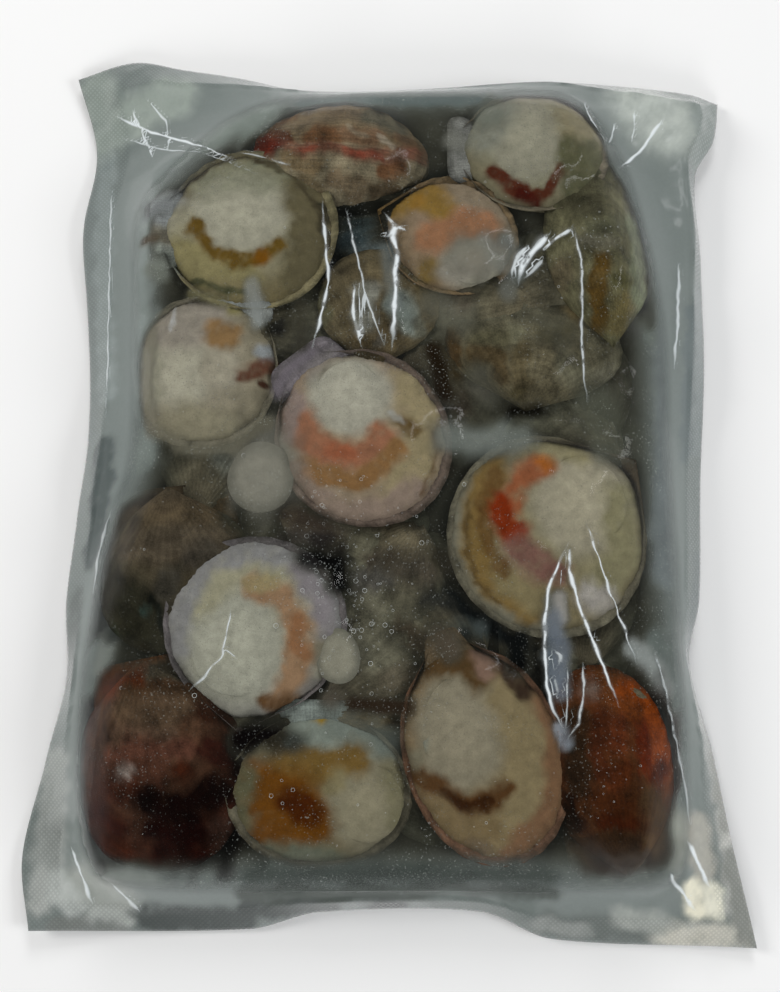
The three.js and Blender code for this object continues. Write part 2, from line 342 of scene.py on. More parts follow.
def valve(pile, shell, columns=121, rows=28):
    """A shell lying with its rim at height rim. A dome over 0 has its outside up, a dome under 0
    is a cup with its inside up."""
    a, s = np.meshgrid(np.linspace(-1, 1, columns), np.linspace(0, 1, rows))
    ribs = shell.get("ribs", 21)
    turn = a * (math.pi - SHOULDER)
    rib = np.cos(a * ribs * math.pi)
    uneven = 0.025 * wobble(a * 9, s * 0, 5, shell["seed"])
    edge = 1 + shell.get("teeth", 0.004) * rib * s ** 6 + uneven * s ** 3
    across = s * np.sin(turn) * edge
    along = HINGE - s * (HINGE + np.cos(turn) * edge)
    flank = (1 - np.abs(a) ** 2.6) ** 0.6
    swell = np.sin(math.pi * s ** 0.62) * flank
    relief = shell.get("relief", 0.2) * rib * s ** 0.8 * (1 - np.abs(a) ** 8)
    rings = 0.16 * np.sin(s ** 1.6 * 46 + 3 * wobble(a * 10, s * 10, 9, shell["seed"] + 1))
    height = shell["rim"] + shell["dome"] * swell + relief + rings * s * flank
    edge_share = np.minimum(np.minimum((1 - s) / 0.05, s / 0.06), (1 - np.abs(a)) / 0.04)
    wall = SHELL_WALL * np.sqrt(np.clip(edge_share, 0, 1))
    top = set_down(shell, across, along, height)
    bottom = top - np.stack([0 * wall, 0 * wall, wall], axis=-1)
    near, far = linear(*shell["near"]), linear(*shell["far"])
    share = (s ** 1.3)[..., None]
    tint = near * (1 - share) + far * share
    tint *= (1 + 0.22 * wobble(s * 40, a * 2, 7, shell["seed"] + 2))[..., None]
    tint, _ = paint(top[..., 0], top[..., 1], tint, shell.get("strokes", ()))
    # Painted shade: the valve darkens beside the opened shells' rims, by its share of shade.
    crevice_shade = crevice(top[..., 0], top[..., 1], OPEN_SHELLS.values())[..., None]
    tint *= 1 - shell.get("shade", 0) * crevice_shade
    grain = np.stack([a * ribs / 2, s, 0 * s + shell["seed"]], axis=-1)
    # Painted shade: the underside is the top's colour, darkened.
    pile.skin(top, bottom, tint, tint * 0.6, grain)
    for side in (-1, 1) if shell.get("ear", 0.6) else ():
        p, q = np.meshgrid(np.linspace(0, 1, 17), np.linspace(0, 1, 9))
        ear = shell.get("ear", 0.55)
        reach, foot = shell.get("ear_foot", (0.37, 0.44))
        out = p * (ear * (1 - q) + foot * q)
        in_y = HINGE - q * (reach + p * 0.06) - 0.16 * p ** 8 * (1 - q)
        rise = shell["rim"] + 0.7 + 0.15 * np.cos(q * 25) * p - 2.0 * q ** 2 - 1.6 * p ** 4
        closing = np.minimum(np.minimum((1 - q) / 0.2, q / 0.2), (1 - p) / 0.1)
        thick = 1.0 * np.sqrt(np.clip(closing, 0, 1))
        sheet = set_down(shell, side * out, in_y, rise)
        tint = 0 * sheet + linear(*shell.get("ear_tint", shell["near"]))
        # The ear darkens towards its edges, and its ribs are painted shade: lighter on their tops and
        # darker between, in step with their relief in rise.
        dark_edge = 0.3 * soft_step(0.75, 1.0, np.maximum(p, 1 - q))
        tint *= (1 + 0.08 * np.cos(q * 25) - dark_edge)[..., None]
        ear_strokes = shell.get("ear_strokes", shell.get("strokes", ()))
        tint, _ = paint(sheet[..., 0], sheet[..., 1], tint, ear_strokes)
        under = sheet - np.stack([0 * thick, 0 * thick, thick], axis=-1)
        grain = np.stack([q * 3, p, 0 * p + shell["seed"]], axis=-1)
        # Painted shade: the ear's underside is its top's colour, darkened.
        pile.skin(sheet, under, tint, tint * 0.6, grain)


def surface_group(name):
    """Mottling and fine relief that the shells and the meat share."""
    group = bpy.data.node_groups.new(name, "ShaderNodeTree")
    face = group.interface
    face.new_socket("Tint", in_out="INPUT", socket_type="NodeSocketColor")
    face.new_socket("Mottle size", in_out="INPUT", socket_type="NodeSocketFloat")
    face.new_socket("Mottle depth", in_out="INPUT", socket_type="NodeSocketFloat")
    face.new_socket("Colour", in_out="OUTPUT", socket_type="NodeSocketColor")
    face.new_socket("Speckle", in_out="OUTPUT", socket_type="NodeSocketFloat")
    graph = Graph(group)
    given = graph.add("NodeGroupInput").outputs
    where = graph.add("ShaderNodeTexCoord").outputs["Object"]
    broad = graph.noise(where, given["Mottle size"], 6.0)
    fine = graph.noise(where, 1600.0, 3.0)
    swing = graph.value("SUBTRACT", graph.value("ADD", graph.value("MULTIPLY", broad, 1.5),
                                                graph.value("MULTIPLY", fine, 0.7)), 1.1)
    colour = graph.brighten(given["Tint"], graph.scaled(swing, given["Mottle depth"], 1.0))
    graph.add("NodeGroupOutput", {"Colour": colour, "Speckle": fine})
    return group


mottled = surface_group("mottled_surface")


def organic_material(name, mottle_size, mottle_depth, roughness, bump, ribs=0.0):
    """A matt, mottled finish in the colours of Tint, with ribs and growth rings where asked. The ribs
    are painted shade: lighter along their tops and darker in the grooves between them.
    """
    material, graph = material_graph(name)
    tint = graph.add("ShaderNodeAttribute", attribute_name="Tint").outputs["Color"]
    look = graph.add("ShaderNodeGroup", node_tree=mottled)
    graph.tree.links.new(tint, look.inputs["Tint"])
    look.inputs["Mottle size"].default_value = mottle_size
    look.inputs["Mottle depth"].default_value = mottle_depth
    colour = look.outputs["Colour"]
    if ribs:
        grain = graph.add("ShaderNodeAttribute", attribute_name="Grain").outputs["Vector"]
        parts = graph.add("ShaderNodeSeparateXYZ", {0: grain}).outputs
        # Painted shade: lighter along the ribs' tops and darker between them, in step with their relief.
        wave = graph.value("COSINE", graph.value("MULTIPLY", parts[0], 2 * math.pi))
        threads = graph.value("COSINE", graph.value("MULTIPLY", parts[0], 8 * math.pi))
        outward = graph.add("ShaderNodeCombineXYZ", {0: parts[2], 1: parts[1]}).outputs[0]
        rings = graph.noise(outward, 24.0, 4.0)
        level = graph.value("ADD", graph.value("MULTIPLY", wave, ribs),
                            graph.value("MULTIPLY", threads, ribs * 0.35))
        rings = graph.value("SUBTRACT", graph.value("MULTIPLY", rings, 0.9), 0.45)
        level = graph.value("ADD", level, rings)
        colour = graph.brighten(colour, graph.value("ADD", level, 1.0))
    relief = graph.add(
        "ShaderNodeBump", {"Height": look.outputs["Speckle"], "Strength": bump, "Distance": 0.0004}
    ).outputs[0]
    surface = graph.add(
        "ShaderNodeBsdfPrincipled",
        {"Base Color": colour, "Roughness": roughness, "Specular IOR Level": 0.0, "Normal": relief},
    )
    finish_graph(graph, surface.outputs[0])
    return material


shell_material = organic_material("scallop_shell", 150.0, 1.45, 0.55, 0.4, ribs=0.08)

# Place, reach across and along, the hinge's angle, the rim's height and the depth of the cup.
OPEN_SHELLS = {
    "A": dict(x=-49, y=87, across=30, along=31, hinge=178, rim=23.2, dome=-9, seed=11, lean=(0, 0),
              near=(120, 108, 84), far=(110, 104, 78), ear_tint=(116, 118, 110),
              strokes=[([(-84, 97), (-78, 95)], 6.9, (133, 138, 138), 0.95),
                       ([(-85.6, 85.5), (-79, 85)], 3, (104, 98, 82), 0.7),
                       ([(-85.3, 76), (-79, 75)], 5.2, (122, 128, 120), 0.9)]),
    "B": dict(x=-65.5, y=35, across=27, along=28, hinge=60, rim=22.6, dome=-8, seed=12,
              hazy=True, near=(104, 94, 84), far=(112, 108, 92), ear=0.42, ear_tint=(134, 138, 134)),
    "D": dict(x=53.5, y=118, across=24, along=27, hinge=180, rim=23, dome=-8, seed=13,
              near=(96, 88, 78), far=(104, 98, 82), ear_tint=(114, 115, 110)),
    "E": dict(x=23, y=85, across=22, along=24, hinge=160, rim=22.2, dome=-7, seed=14,
              near=(104, 84, 52), far=(112, 96, 72), ear=0),
    "I": dict(x=-9, y=11, across=30, along=32, hinge=128, rim=23.8, dome=-9, seed=15,
              near=(110, 102, 104), far=(96, 84, 74), ear=0.46, ear_foot=(0.3, 0.5),
              ear_tint=(122, 116, 120)),
    "J": dict(x=54, y=-23, across=35, along=34, hinge=40, rim=23.6, dome=-9, seed=16,
              near=(96, 84, 70), far=(98, 95, 80), ear=0),
    "L": dict(x=-45, y=-53, across=31, along=30, hinge=262, rim=23.8, dome=-9, seed=17,
              hazy=True, near=(90, 82, 78), far=(98, 94, 94), ear=0),
    "O": dict(x=-23, y=-108, across=31, along=25, hinge=88, rim=22.2, dome=-7, seed=18,
              hazy=True, near=(104, 108, 100), far=(80, 76, 62), ear_tint=(118, 126, 120)),
    "P": dict(x=32, y=-96, across=27, along=36, hinge=110, rim=23.6, dome=-9, seed=19,
              near=(100, 80, 62), far=(92, 68, 52), ear=0.26, ear_tint=(84, 72, 54)),
}
open_pile = Pile()
for shell in OPEN_SHELLS.values():
    valve(open_pile, dict(shell, relief=0.16, teeth=0.003))

CLOSED_SHELLS = [
    # F, a dark olive shell on its edge at the right
    dict(x=75.2, y=82.7, across=19.5, along=32.5, hinge=276, rim=21.4, dome=6.5, seed=31, ribs=23,
         relief=0.07, near=(84, 82, 60), far=(82, 80, 60), ear=0,
         strokes=[([(63.1, 112.7), (75.7, 112)], 4.5, (84, 84, 62)),
                  ([(63.2, 100.6), (66.2, 93.9), (75.2, 95.4)], 4.1, (72, 70, 52)),
                  ([(72.1, 87.9), (82, 87.5)], 3.4, (76, 76, 58)),
                  ([(89.2, 91.3), (90, 73.8), (88.1, 59.9)], 3.4, (102, 107, 84)),
                  ([(69.8, 81.2), (76.9, 81.2)], 2.8, (86, 84, 70)),
                  ([(74.5, 73.8), (72.7, 59.9), (74.6, 51.9)], 3.1, (76, 58, 24), 0.95, 0.3),
                  ([(74, 66.8)], 2.1, (86, 70, 38)), ([(82, 66.1)], 2.8, (68, 66, 40)),
                  ([(81.8, 58), (80.1, 49.7)], 3.1, (94, 86, 56)), ([(77.8, 44.3)], 3.1, (88, 86, 62)),
                  ([(61.1, 72.7), (60.2, 65.3)], 3.4, (86, 79, 60)),
                  ([(60.1, 58.4), (60.6, 51.9)], 3.1, (52, 47, 30))]),
    # G, brown, under the ears of I
    dict(x=-3.7, y=60.6, across=22, along=20, hinge=265, rim=20.6, dome=3.2, seed=32, relief=0.04,
         near=(80, 70, 50), far=(88, 80, 60), ear=0,
         strokes=[([(-17.8, 66.4), (-17, 58), (-18.7, 50.8)], 4.5, (88, 80, 60)),
                  ([(-24.8, 63.5), (-24, 53.3)], 2.8, (82, 80, 60)),
                  ([(-8.3, 63.5), (-8.2, 53.3)], 3.8, (114, 114, 104)),
                  ([(4, 59.9), (6.8, 53.3)], 3.8, (120, 128, 120)), ([(12.5, 66.4)], 3.1, (92, 80, 50)),
                  # The dark stroke from (13.7, 43.6) to (14.4, 32.8) is painted shade, where the brown
                  # shade lies deep in the ice beside it.
                  ([(11, 51.9)], 2.8, (86, 86, 74)), ([(13.7, 43.6), (14.4, 32.8)], 3.1, (44, 36, 22)),
                  ([(-3.7, 45.4)], 2.1, (80, 76, 66)), ([(-15.4, 73.1)], 2.1, (60, 54, 40), 0.9)]),
    # H, grey-olive with a brown patch
    dict(x=51.3, y=44.9, across=31, along=20, hinge=262, rim=20.8, dome=4, seed=33, relief=0.04,
         near=(80, 74, 56), far=(87, 85, 69), ear=0,
         strokes=[([(23.3, 59.9), (39.1, 59.9)], 4.1, (100, 100, 86)),
                  ([(37.6, 57.7), (40.9, 62.1), (49.7, 64.2), (56, 62.8), (60.7, 57.7)], 1.7, (44, 42, 32)),
                  ([(46, 56.2), (53, 55.5)], 3.1, (78, 76, 62)), ([(44.1, 48.2)], 3.1, (100, 98, 78)),
                  ([(54.6, 49), (60.5, 47.5)], 3.1, (66, 62, 44)),
                  ([(20.7, 46.8), (22.1, 38.9)], 3.8, (60, 47, 28)),
                  ([(32.6, 47.5), (38.9, 47.5)], 3.1, (80, 77, 58)),
                  ([(30.1, 41), (38.1, 40.3), (38.7, 33.9)], 3.1, (69, 59, 40)),
                  ([(46.4, 41), (46.3, 31.7)], 3.1, (84, 76, 55)),
                  ([(53.7, 41), (53.6, 32.8)], 3.4, (96, 90, 70)),
                  ([(61.3, 36.4), (68.1, 32.8)], 4.1, (88, 86, 70)),
                  ([(76.1, 33.9), (77.3, 25.7)], 4.1, (94, 92, 77)),
                  ([(45.5, 26.8)], 2.4, (64, 58, 39)), ([(65.6, 56.2)], 3.1, (84, 72, 46), 0.8)]),
    # K, mottled ribs under a straight hinge
    dict(x=-72.7, y=-37.4, across=28, along=26.5, hinge=96, rim=21, dome=4.6, seed=34, relief=0.12,
         near=(72, 63, 48), far=(42, 42, 32), ear=0.76, ear_foot=(0.9, 0.9), ear_tint=(66, 56, 40),
         ear_strokes=[([(-91, -10.3), (-82.4, -10.3)], 2.8, (54, 47, 38)),
                      ([(-64.1, -10.3)], 2.8, (42, 36, 22)),
                      ([(-60, -6.1), (-54.2, -6.1)], 2.1, (92, 76, 52)),
                      ([(-92.2, -24.2)], 3.1, (66, 60, 50))],
         strokes=[([(-81.1, -15.1), (-62.4, -14.4)], 4.1, (74, 64, 48)),
                  ([(-87.5, -26.4), (-59.8, -24.7)], 5.2, (74, 66, 53)),
                  ([(-67, -32.2), (-61.1, -27.4)], 3.4, (62, 57, 48)),
                  ([(-97.3, -34.2), (-92.8, -46.6)], 4.5, (46, 44, 34)),
                  ([(-87.5, -45), (-79.6, -58.3)], 5.9, (37, 36, 26)),
                  ([(-91.2, -61.6), (-82.1, -63.2)], 3.1, (26, 21, 10)),
                  ([(-74.3, -36.6), (-75.2, -41.6)], 3.4, (56, 53, 45)),
                  ([(-93, -57.6)], 2.1, (46, 54, 38)),
                  ([(-80.1, -45), (-76.5, -53.3)], 1.4, (20, 22, 17)),
                  ([(-83.3, -49)], 1.4, (58, 80, 74), 0.5)]),
    # N, a large dark red shell
    dict(x=-76.3, y=-102.3, across=30, along=32, hinge=101, rim=21, dome=6.2, seed=35, ribs=19,
         relief=0.12, near=(76, 58, 42), far=(46, 20, 12), ear=0.62, ear_foot=(0.85, 0.66),
         ear_tint=(80, 48, 22),
         strokes=[([(-94.4, -74.7), (-87.5, -72.7), (-80.6, -70.1)], 3.4, (74, 34, 10)),
                  ([(-79.3, -68.8), (-68.7, -68.2)], 2.8, (62, 56, 44)),
                  ([(-86.4, -75.4), (-74.1, -74.7), (-65.8, -76)], 2.8, (54, 37, 22)),
                  ([(-84.8, -81.9), (-70.6, -82.5)], 5.2, (79, 63, 47)),
                  ([(-88.5, -89.3), (-72.7, -88.7)], 2.8, (80, 62, 48)),
                  ([(-66.1, -87)], 3.1, (69, 49, 35)),
                  ([(-61, -81.9), (-53.7, -83.2)], 3.1, (36, 17, 8)),
                  ([(-90.9, -94.8), (-78.4, -94.8), (-66.9, -93.5)], 3.1, (79, 50, 38)),
                  ([(-59.4, -94.1), (-53.4, -96.1)], 3.1, (42, 18, 12)),
                  ([(-97.1, -103.1), (-88, -101.2), (-74.9, -101.2)], 3.1, (70, 44, 32)),
                  ([(-67.7, -101.2)], 2.8, (54, 24, 11)),
                  ([(-86.8, -100.5)], 2.1, (118, 108, 100), 0.8),
                  ([(-95, -108.5), (-85.2, -107.5)], 3.4, (54, 27, 16)),
                  ([(-51.5, -91.6), (-49.4, -100.5)], 3.1, (10, 2, 2)),
                  ([(-77.9, -110.1), (-66.4, -113.9), (-56.4, -106.9)], 5.5, (12, 2, 1)),
                  ([(-97.3, -114.8), (-90, -118)], 3.4, (48, 18, 9)),
                  ([(-77.5, -121.1), (-61.2, -122)], 3.8, (18, 2, 1)),
                  ([(-92.9, -125.8), (-84.4, -129.5)], 3.4, (56, 26, 15)),
                  ([(-74, -128.3), (-61, -129.5)], 3.1, (26, 3, 1)),
                  ([(-54.8, -119.5), (-52.7, -125.8)], 3.1, (48, 32, 25))]),
    # Q, bright orange towards its rim, with its broad hinge below
    dict(x=72.5, y=-98.2, across=22.6, along=32, hinge=280, rim=21, dome=7, seed=37, ribs=23,
         relief=0.07, near=(48, 32, 17), far=(84, 46, 22), ear=0.82, ear_foot=(0.95, 0.84),
         ear_tint=(58, 44, 30),
         ear_strokes=[([(60.1, -112.3), (60.6, -119.7)], 3.1, (24, 10, 4)),
                      ([(59.6, -130.5)], 2.8, (72, 62, 50)), ([(58.8, -135.5)], 2.1, (92, 66, 50)),
                      ([(69.5, -130.5), (82.6, -130.5)], 2.4, (54, 44, 34)),
                      ([(89.3, -110.7), (90.2, -120.3)], 2.8, (66, 50, 30)),
                      ([(89.3, -126.7)], 2.1, (84, 66, 46))],
         strokes=[([(73, -68.8), (77.4, -74.7)], 3.1, (84, 48, 22)),
                  ([(81.4, -75.4), (88.1, -81.9), (90.7, -91.6), (89.7, -99.9)], 3.8, (118, 54, 14), 0.95),
                  ([(78.6, -79.3), (81.8, -82.8)], 2.8, (98, 50, 18)),
                  ([(75.8, -85.1), (76.2, -92.5)], 2.8, (86, 42, 21)),
                  ([(84, -87), (84.2, -98.6)], 2.4, (84, 30, 8), 0.85),
                  ([(91.1, -99.9), (87.3, -103.1)], 2.4, (64, 23, 4)),
                  ([(76.6, -100.5), (74.2, -105)], 2.8, (74, 36, 15)),
                  ([(69.9, -83.8), (68.7, -100.5)], 3.4, (58, 27, 11)),
                  ([(62, -83.2), (62, -106.9)], 3.4, (47, 31, 17)),
                  ([(66.8, -74.7)], 3.1, (88, 76, 68), 0.8),
                  ([(69.1, -109.4), (77.2, -112)], 3.1, (55, 27, 9)),
                  ([(86.1, -110.1), (88.4, -117)], 3.4, (65, 47, 27)),
                  ([(59.3, -111.7), (59.7, -118.9)], 3.1, (24, 10, 4)),
                  ([(68.9, -117.6), (78, -117)], 2.8, (46, 17, 4)),
                  ([(62.2, -124.5), (79.1, -123.3)], 3.1, (44, 29, 16)),
                  ([(85.6, -123.3), (88.8, -125.8)], 2.8, (70, 52, 31)),
                  ([(68.5, -129.5), (83.1, -128.9)], 2.4, (54, 44, 34)),
                  ([(58.8, -129.5)], 2.8, (72, 62, 50)), ([(58, -134.5)], 2.1, (90, 66, 50))]),
]
closed_pile = Pile()
for shell in CLOSED_SHELLS:
    valve(closed_pile, dict(shell, shade=0.3))


def edge_on_shell(pile, x, y, half_length, half_depth, crown, turn):
    """A shut scallop standing on its hinge: both valves meet in a seam along the top."""
    turn = math.radians(turn)

    def warp(unit):
        along, across, up = unit[:, 0], unit[:, 1], unit[:, 2]
        fan = np.arctan2(along, np.maximum(up, -0.2) + 1.25)
        rib = np.cos(fan * 44)
        seam = np.exp(-((across / 0.10) ** 2))
        size = 1 + 0.014 * rib * (1 - seam) - 0.075 * seam * np.sqrt(np.clip(1 - along ** 2, 0, 1))
        px = along * half_length * size
        py = across * half_depth * size * (1 - 0.22 * along ** 2) + 0.9 * np.sin(along * 3.0 + 0.6)
        pz = crown - 12 + up * 12 * size
        places = np.stack([x + px * math.cos(turn) - py * math.sin(turn),
                           y + px * math.sin(turn) + py * math.cos(turn), pz], axis=-1)
        upper = soft_step(-0.03, 0.03, across)[:, None]
        tint = linear(98, 86, 66) * upper + linear(112, 104, 84) * (1 - upper)
        tint *= (1 + 0.25 * wobble(along * 30, across * 30, 11, 41))[:, None]
        tint, _ = paint(places[:, 0], places[:, 1], tint, [
            ([(-43.4, 128.1), (-35.5, 130.4)], 3.1, (84, 62, 40), 0.9),
            ([(-27.6, 131.1), (-17.5, 131.9)], 3.1, (100, 86, 64), 0.9),
            ([(-6, 128.8), (3.4, 125.7)], 3.4, (76, 73, 58), 0.9),
            ([(-42.6, 122.7), (-37.2, 120.4)], 2.4, (70, 42, 24), 0.9),
            ([(-27.5, 120.4), (-18.9, 120.4)], 2.8, (92, 66, 44), 0.9),
            ([(-13.9, 121.1), (-5.2, 119.6)], 2.8, (104, 82, 62), 0.9),
            ([(4.1, 120.4), (9.8, 118.8)], 2.4, (84, 66, 46), 0.9),
            ([(-36, 112.7), (-27.4, 109.7)], 2.8, (106, 92, 68), 0.9),
            ([(-30.9, 105.2), (-24.5, 102.1)], 2.4, (90, 80, 60), 0.9),
            ([(-18.1, 104.4), (-10.9, 102.1)], 3.1, (104, 91, 71), 0.9),
            ([(-1.6, 108.2), (4.8, 109.7)], 2.4, (96, 68, 46), 0.9),
            ([(-5.2, 100.6), (1.2, 103.7)], 2.4, (70, 58, 42), 0.9),
            ([(-15.5, 97.2), (-8, 96.9)], 1.4, (62, 52, 38), 0.9),
            ([(-47.6, 120.4), (-40.4, 118.1), (-32.5, 116.6), (-23.9, 115.4), (-15.6, 114.3),
              (-9.5, 113.5), (-1.3, 113.5), (6.2, 114.7), (13, 116.2)], 2.4, (94, 60, 46), 0.75),
            ([(-16, 114.7), (-9.5, 113.5), (-3.1, 112.7)], 1.2, (114, 52, 38), 0.5),
            ([(-31.8, 115.8), (-26, 115.4)], 1, (106, 50, 36), 0.45),
            ([(-48, 121.9), (-45.5, 120.4), (-41.8, 117.7)], 2.8, (84, 26, 8), 1),
            ([(-4.5, 120), (1.9, 116.6)], 0.8, (134, 126, 110), 0.6),
            ([(-13.2, 124.6), (-8.8, 120)], 0.8, (124, 116, 98), 0.5)])
        grain = np.stack([fan * 7, np.abs(across), 0 * up + 41], axis=-1)
        return places, tint, grain

    pile.ball(192, 96, warp)


edge_on_shell(closed_pile, -17.4, 117.4, 32.5, 20, 28.8, -6)

opened = object_from(open_pile.bm, "opened_shells", shell_material)
closed = object_from(closed_pile.bm, "shut_shells", shell_material)
for piece in (opened, closed):
    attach(piece, "root")


# ---------------------------------------------------------------------------------------------
# Shells underneath
# The lower layer of scallops: the same limy valves, their outsides up, frozen in above the dark
# bed of painted shade.
# They are seen dimly through the ice between the upper ones.

below_pile = Pile()
BELOW_ACROSS = (-62, 66)
BELOW_ALONG = (-106, 110)
# Place, reach across and along, and the angle that the hinge points to.
BELOW = [
    (-3, -42, 26, 24, 60), (4, -72, 25, 24, 200), (14, -44, 22, 24, 310), (21, 22, 25, 23, 120),
    (28, 52, 24, 22, 20), (-50, -28, 24, 22, 250), (-84, 78, 22, 24, 90), (-35, 58, 22, 20, 200),
    (86, 30, 20, 26, 80), (88, -40, 20, 25, 270), (-88, -72, 20, 24, 30), (60, -62, 24, 22, 150),
    (-44, -84, 24, 22, 300), (0, 90, 25, 22, 10), (64, -84, 20, 22, 10), (60, 70, 22, 22, 210),
    (-86, 10, 18, 24, 260), (20, -128, 26, 20, 90), (60, 5, 26, 22, 330), (-10, -20, 24, 24, 170),
]
# Strokes on the lower shells. The darkest are painted shade, in the deep gaps between the upper shells.
BELOW_COLOURS_AND_SHADE = [
    ([(-5.6, -44.6), (-8, -58.2), (-1.2, -66.6)], 4.8, (98, 96, 80)),
    ([(-1.2, -17.1), (5.7, -25.8)], 4.5, (104, 96, 76)),
    ([(-2.9, -31), (12.5, -35.1)], 4.1, (66, 60, 50)),
    ([(-9.1, -37.8), (-1.2, -38.5)], 3.1, (76, 74, 68)),
    ([(17.7, -29.2), (23.8, -39.5)], 2.8, (44, 40, 29)),
    ([(13.5, -44.6), (20.3, -46)], 3.1, (38, 39, 36)),
    ([(21, -37.8), (26.4, -46.7), (37.9, -56.8), (48, -60.9)], 2.8, (15, 18, 18), 1),
    ([(25, -54.1), (33.8, -55.5)], 2.8, (56, 64, 63)), ([(4.6, -54.1), (12, -58.8)], 2.8, (62, 54, 42)),
    ([(-0.2, -72.2), (10.6, -69.9)], 3.8, (92, 86, 71)),
    ([(-14.6, -80.2), (-5.6, -78.9), (5.5, -81.2)], 2.1, (48, 36, 24)),
    ([(-23.8, -77.5), (-17.7, -77.5)], 2.8, (86, 80, 68)),
    ([(-26.4, -84.1), (-14.6, -85.5), (-2.9, -85.5)], 2.4, (86, 76, 54)),
    ([(4.5, -85.5)], 2.4, (52, 42, 28)), ([(-30.6, -16.4), (-23.7, -17.8)], 3.1, (52, 44, 32)),
    ([(-36.7, -24), (-21.9, -24.4)], 2.8, (68, 63, 59)), ([(17.8, -17.8)], 2.4, (46, 20, 6)),
    ([(-28.4, -29.9), (-14.9, -31.6), (-17.3, -40.5)], 3.1, (3, 3, 3)),
    ([(23, -7.3), (21.3, -12.9)], 3.1, (66, 50, 36), 0.85), ([(-30.7, -3.8)], 3.1, (68, 60, 54), 0.8),
    ([(24, 61.9)], 5.2, (98, 92, 78), 0.8), ([(25.8, 23.6)], 4.1, (56, 50, 40), 0.9),
    ([(32.2, 29.7)], 3.4, (92, 89, 78), 0.9), ([(-55.3, 5.7)], 5.5, (106, 109, 99), 0.8),
    ([(-49.7, -92), (-43.8, -88.7), (-33.3, -92.7)], 5.2, (5, 2, 2), 1),
    ([(-19.4, 96.5), (-3.1, 96.9)], 2.4, (8, 8, 6), 1),
    ([(-13.2, 91.2), (-6, 90.4)], 2.4, (48, 58, 58)),
    ([(-15.7, 84.4), (-9.6, 85.1)], 2.8, (58, 70, 72)),
    ([(-20, 81.4), (-18.8, 74.6)], 2.1, (14, 16, 14), 1),
    ([(-11.7, 78.4), (-6.7, 80.6)], 2.4, (84, 94, 94)),
    ([(45.7, -58.2), (42.5, -65.6), (49.9, -68.9)], 4.5, (3, 3, 3), 1),
    ([(43.3, 22.5), (53.1, 22.5)], 2.8, (14, 12, 5), 1),
    ([(21, 42.8), (20.2, 28.3)], 3.1, (46, 38, 22), 1), ([(-38.9, 51.2)], 3.1, (28, 27, 24), 1),
    ([(52.8, -74.9), (54.9, -84.8)], 3.4, (20, 14, 12), 0.9),
    ([(14.5, 18.2), (20, 0.4)], 2.1, (60, 48, 38), 0.8),
]
for number, (x, y, across, along, hinge) in enumerate(BELOW):
    x, y = float(np.clip(x, *BELOW_ACROSS)), float(np.clip(y, *BELOW_ALONG))
    shade = RNG.uniform(0.75, 1.15)
    near = np.array([84, 78, 62]) * shade
    far = np.array([72, 74, 62]) * shade
    shell = dict(x=x, y=y, across=across, along=along, hinge=hinge, rim=17.5 + RNG.uniform(-1, 1),
                 dome=4.0, seed=60 + number, near=near, far=far, ribs=19, ear=0,
                 strokes=BELOW_COLOURS_AND_SHADE, shade=0.55, lean=tuple(RNG.uniform(-0.08, 0.08, 2)))
    valve(below_pile, shell, columns=77, rows=14)
below = object_from(below_pile.bm, "lower_shells", shell_material)
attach(below, "root")


# ---------------------------------------------------------------------------------------------
# Mantles
# The frilled soft body that lines each opened shell, with its gills, roe and liver: lobes of
# cream, olive, orange and dark green flesh.

flesh_pile = Pile()

# The muscles' places, half widths, top and colour, which the flesh pales towards. The last two
# lie loose between the shells.
MUSCLES = [
    (-53, 92.0, 17.3, 15.3, 27.6, (149, 147, 130)), (-73, 33.5, 11.4, 13.2, 26.8, (152, 149, 132)),
    (-58.7, 35.4, 6.4, 7.6, 26.6, (146, 141, 124)), (49.6, 120.2, 12.6, 14.8, 27.7, (135, 133, 116)),
    (30, 74.5, 11.2, 9.0, 26.0, (134, 132, 117)), (-13.4, 25.5, 13.8, 13.8, 28.1, (155, 153, 138)),
    (66.5, -11.5, 16.8, 18.0, 28.3, (146, 141, 121)), (-51.5, -60.5, 16.6, 19.0, 28.5, (151, 151, 136)),
    (-7, -111.5, 14.0, 14.2, 26.3, (124, 119, 98)), (23.8, -87.5, 14.8, 19.8, 28.1, (127, 121, 102)),
    (-16.8, -64, 8.6, 10.8, 27.3, (151, 149, 132)), (-44.0, -3.0, 13.5, 14.5, 26.2, (140, 138, 125)),
]
LOOSE_MUSCLES = 2


def muscle_tone_and_highlight(x, y, tint):
    """Pales a tint towards the muscles' colours on and round them, as they show through, and paints
    each muscle lighter in its middle and darker towards its rim: painted light and shade on its dome.
    """
    for place_x, place_y, wide, tall, _, colour in MUSCLES:
        away = np.hypot((x - place_x) / wide, (y - place_y) / tall) + 0.06 * wobble(x, y, 9, 151)
        share = (1 - soft_step(0.82, 1.32, away))[:, None]
        # Painted light and shade: lighter in the middle of each muscle, darker towards its rim and round
        # it.
        painted_dome_light = (1.14 - 0.22 * soft_step(0.2, 1.1, away))[:, None]
        tint = tint * (1 - share) + linear(*colour) * painted_dome_light * share
    return tint


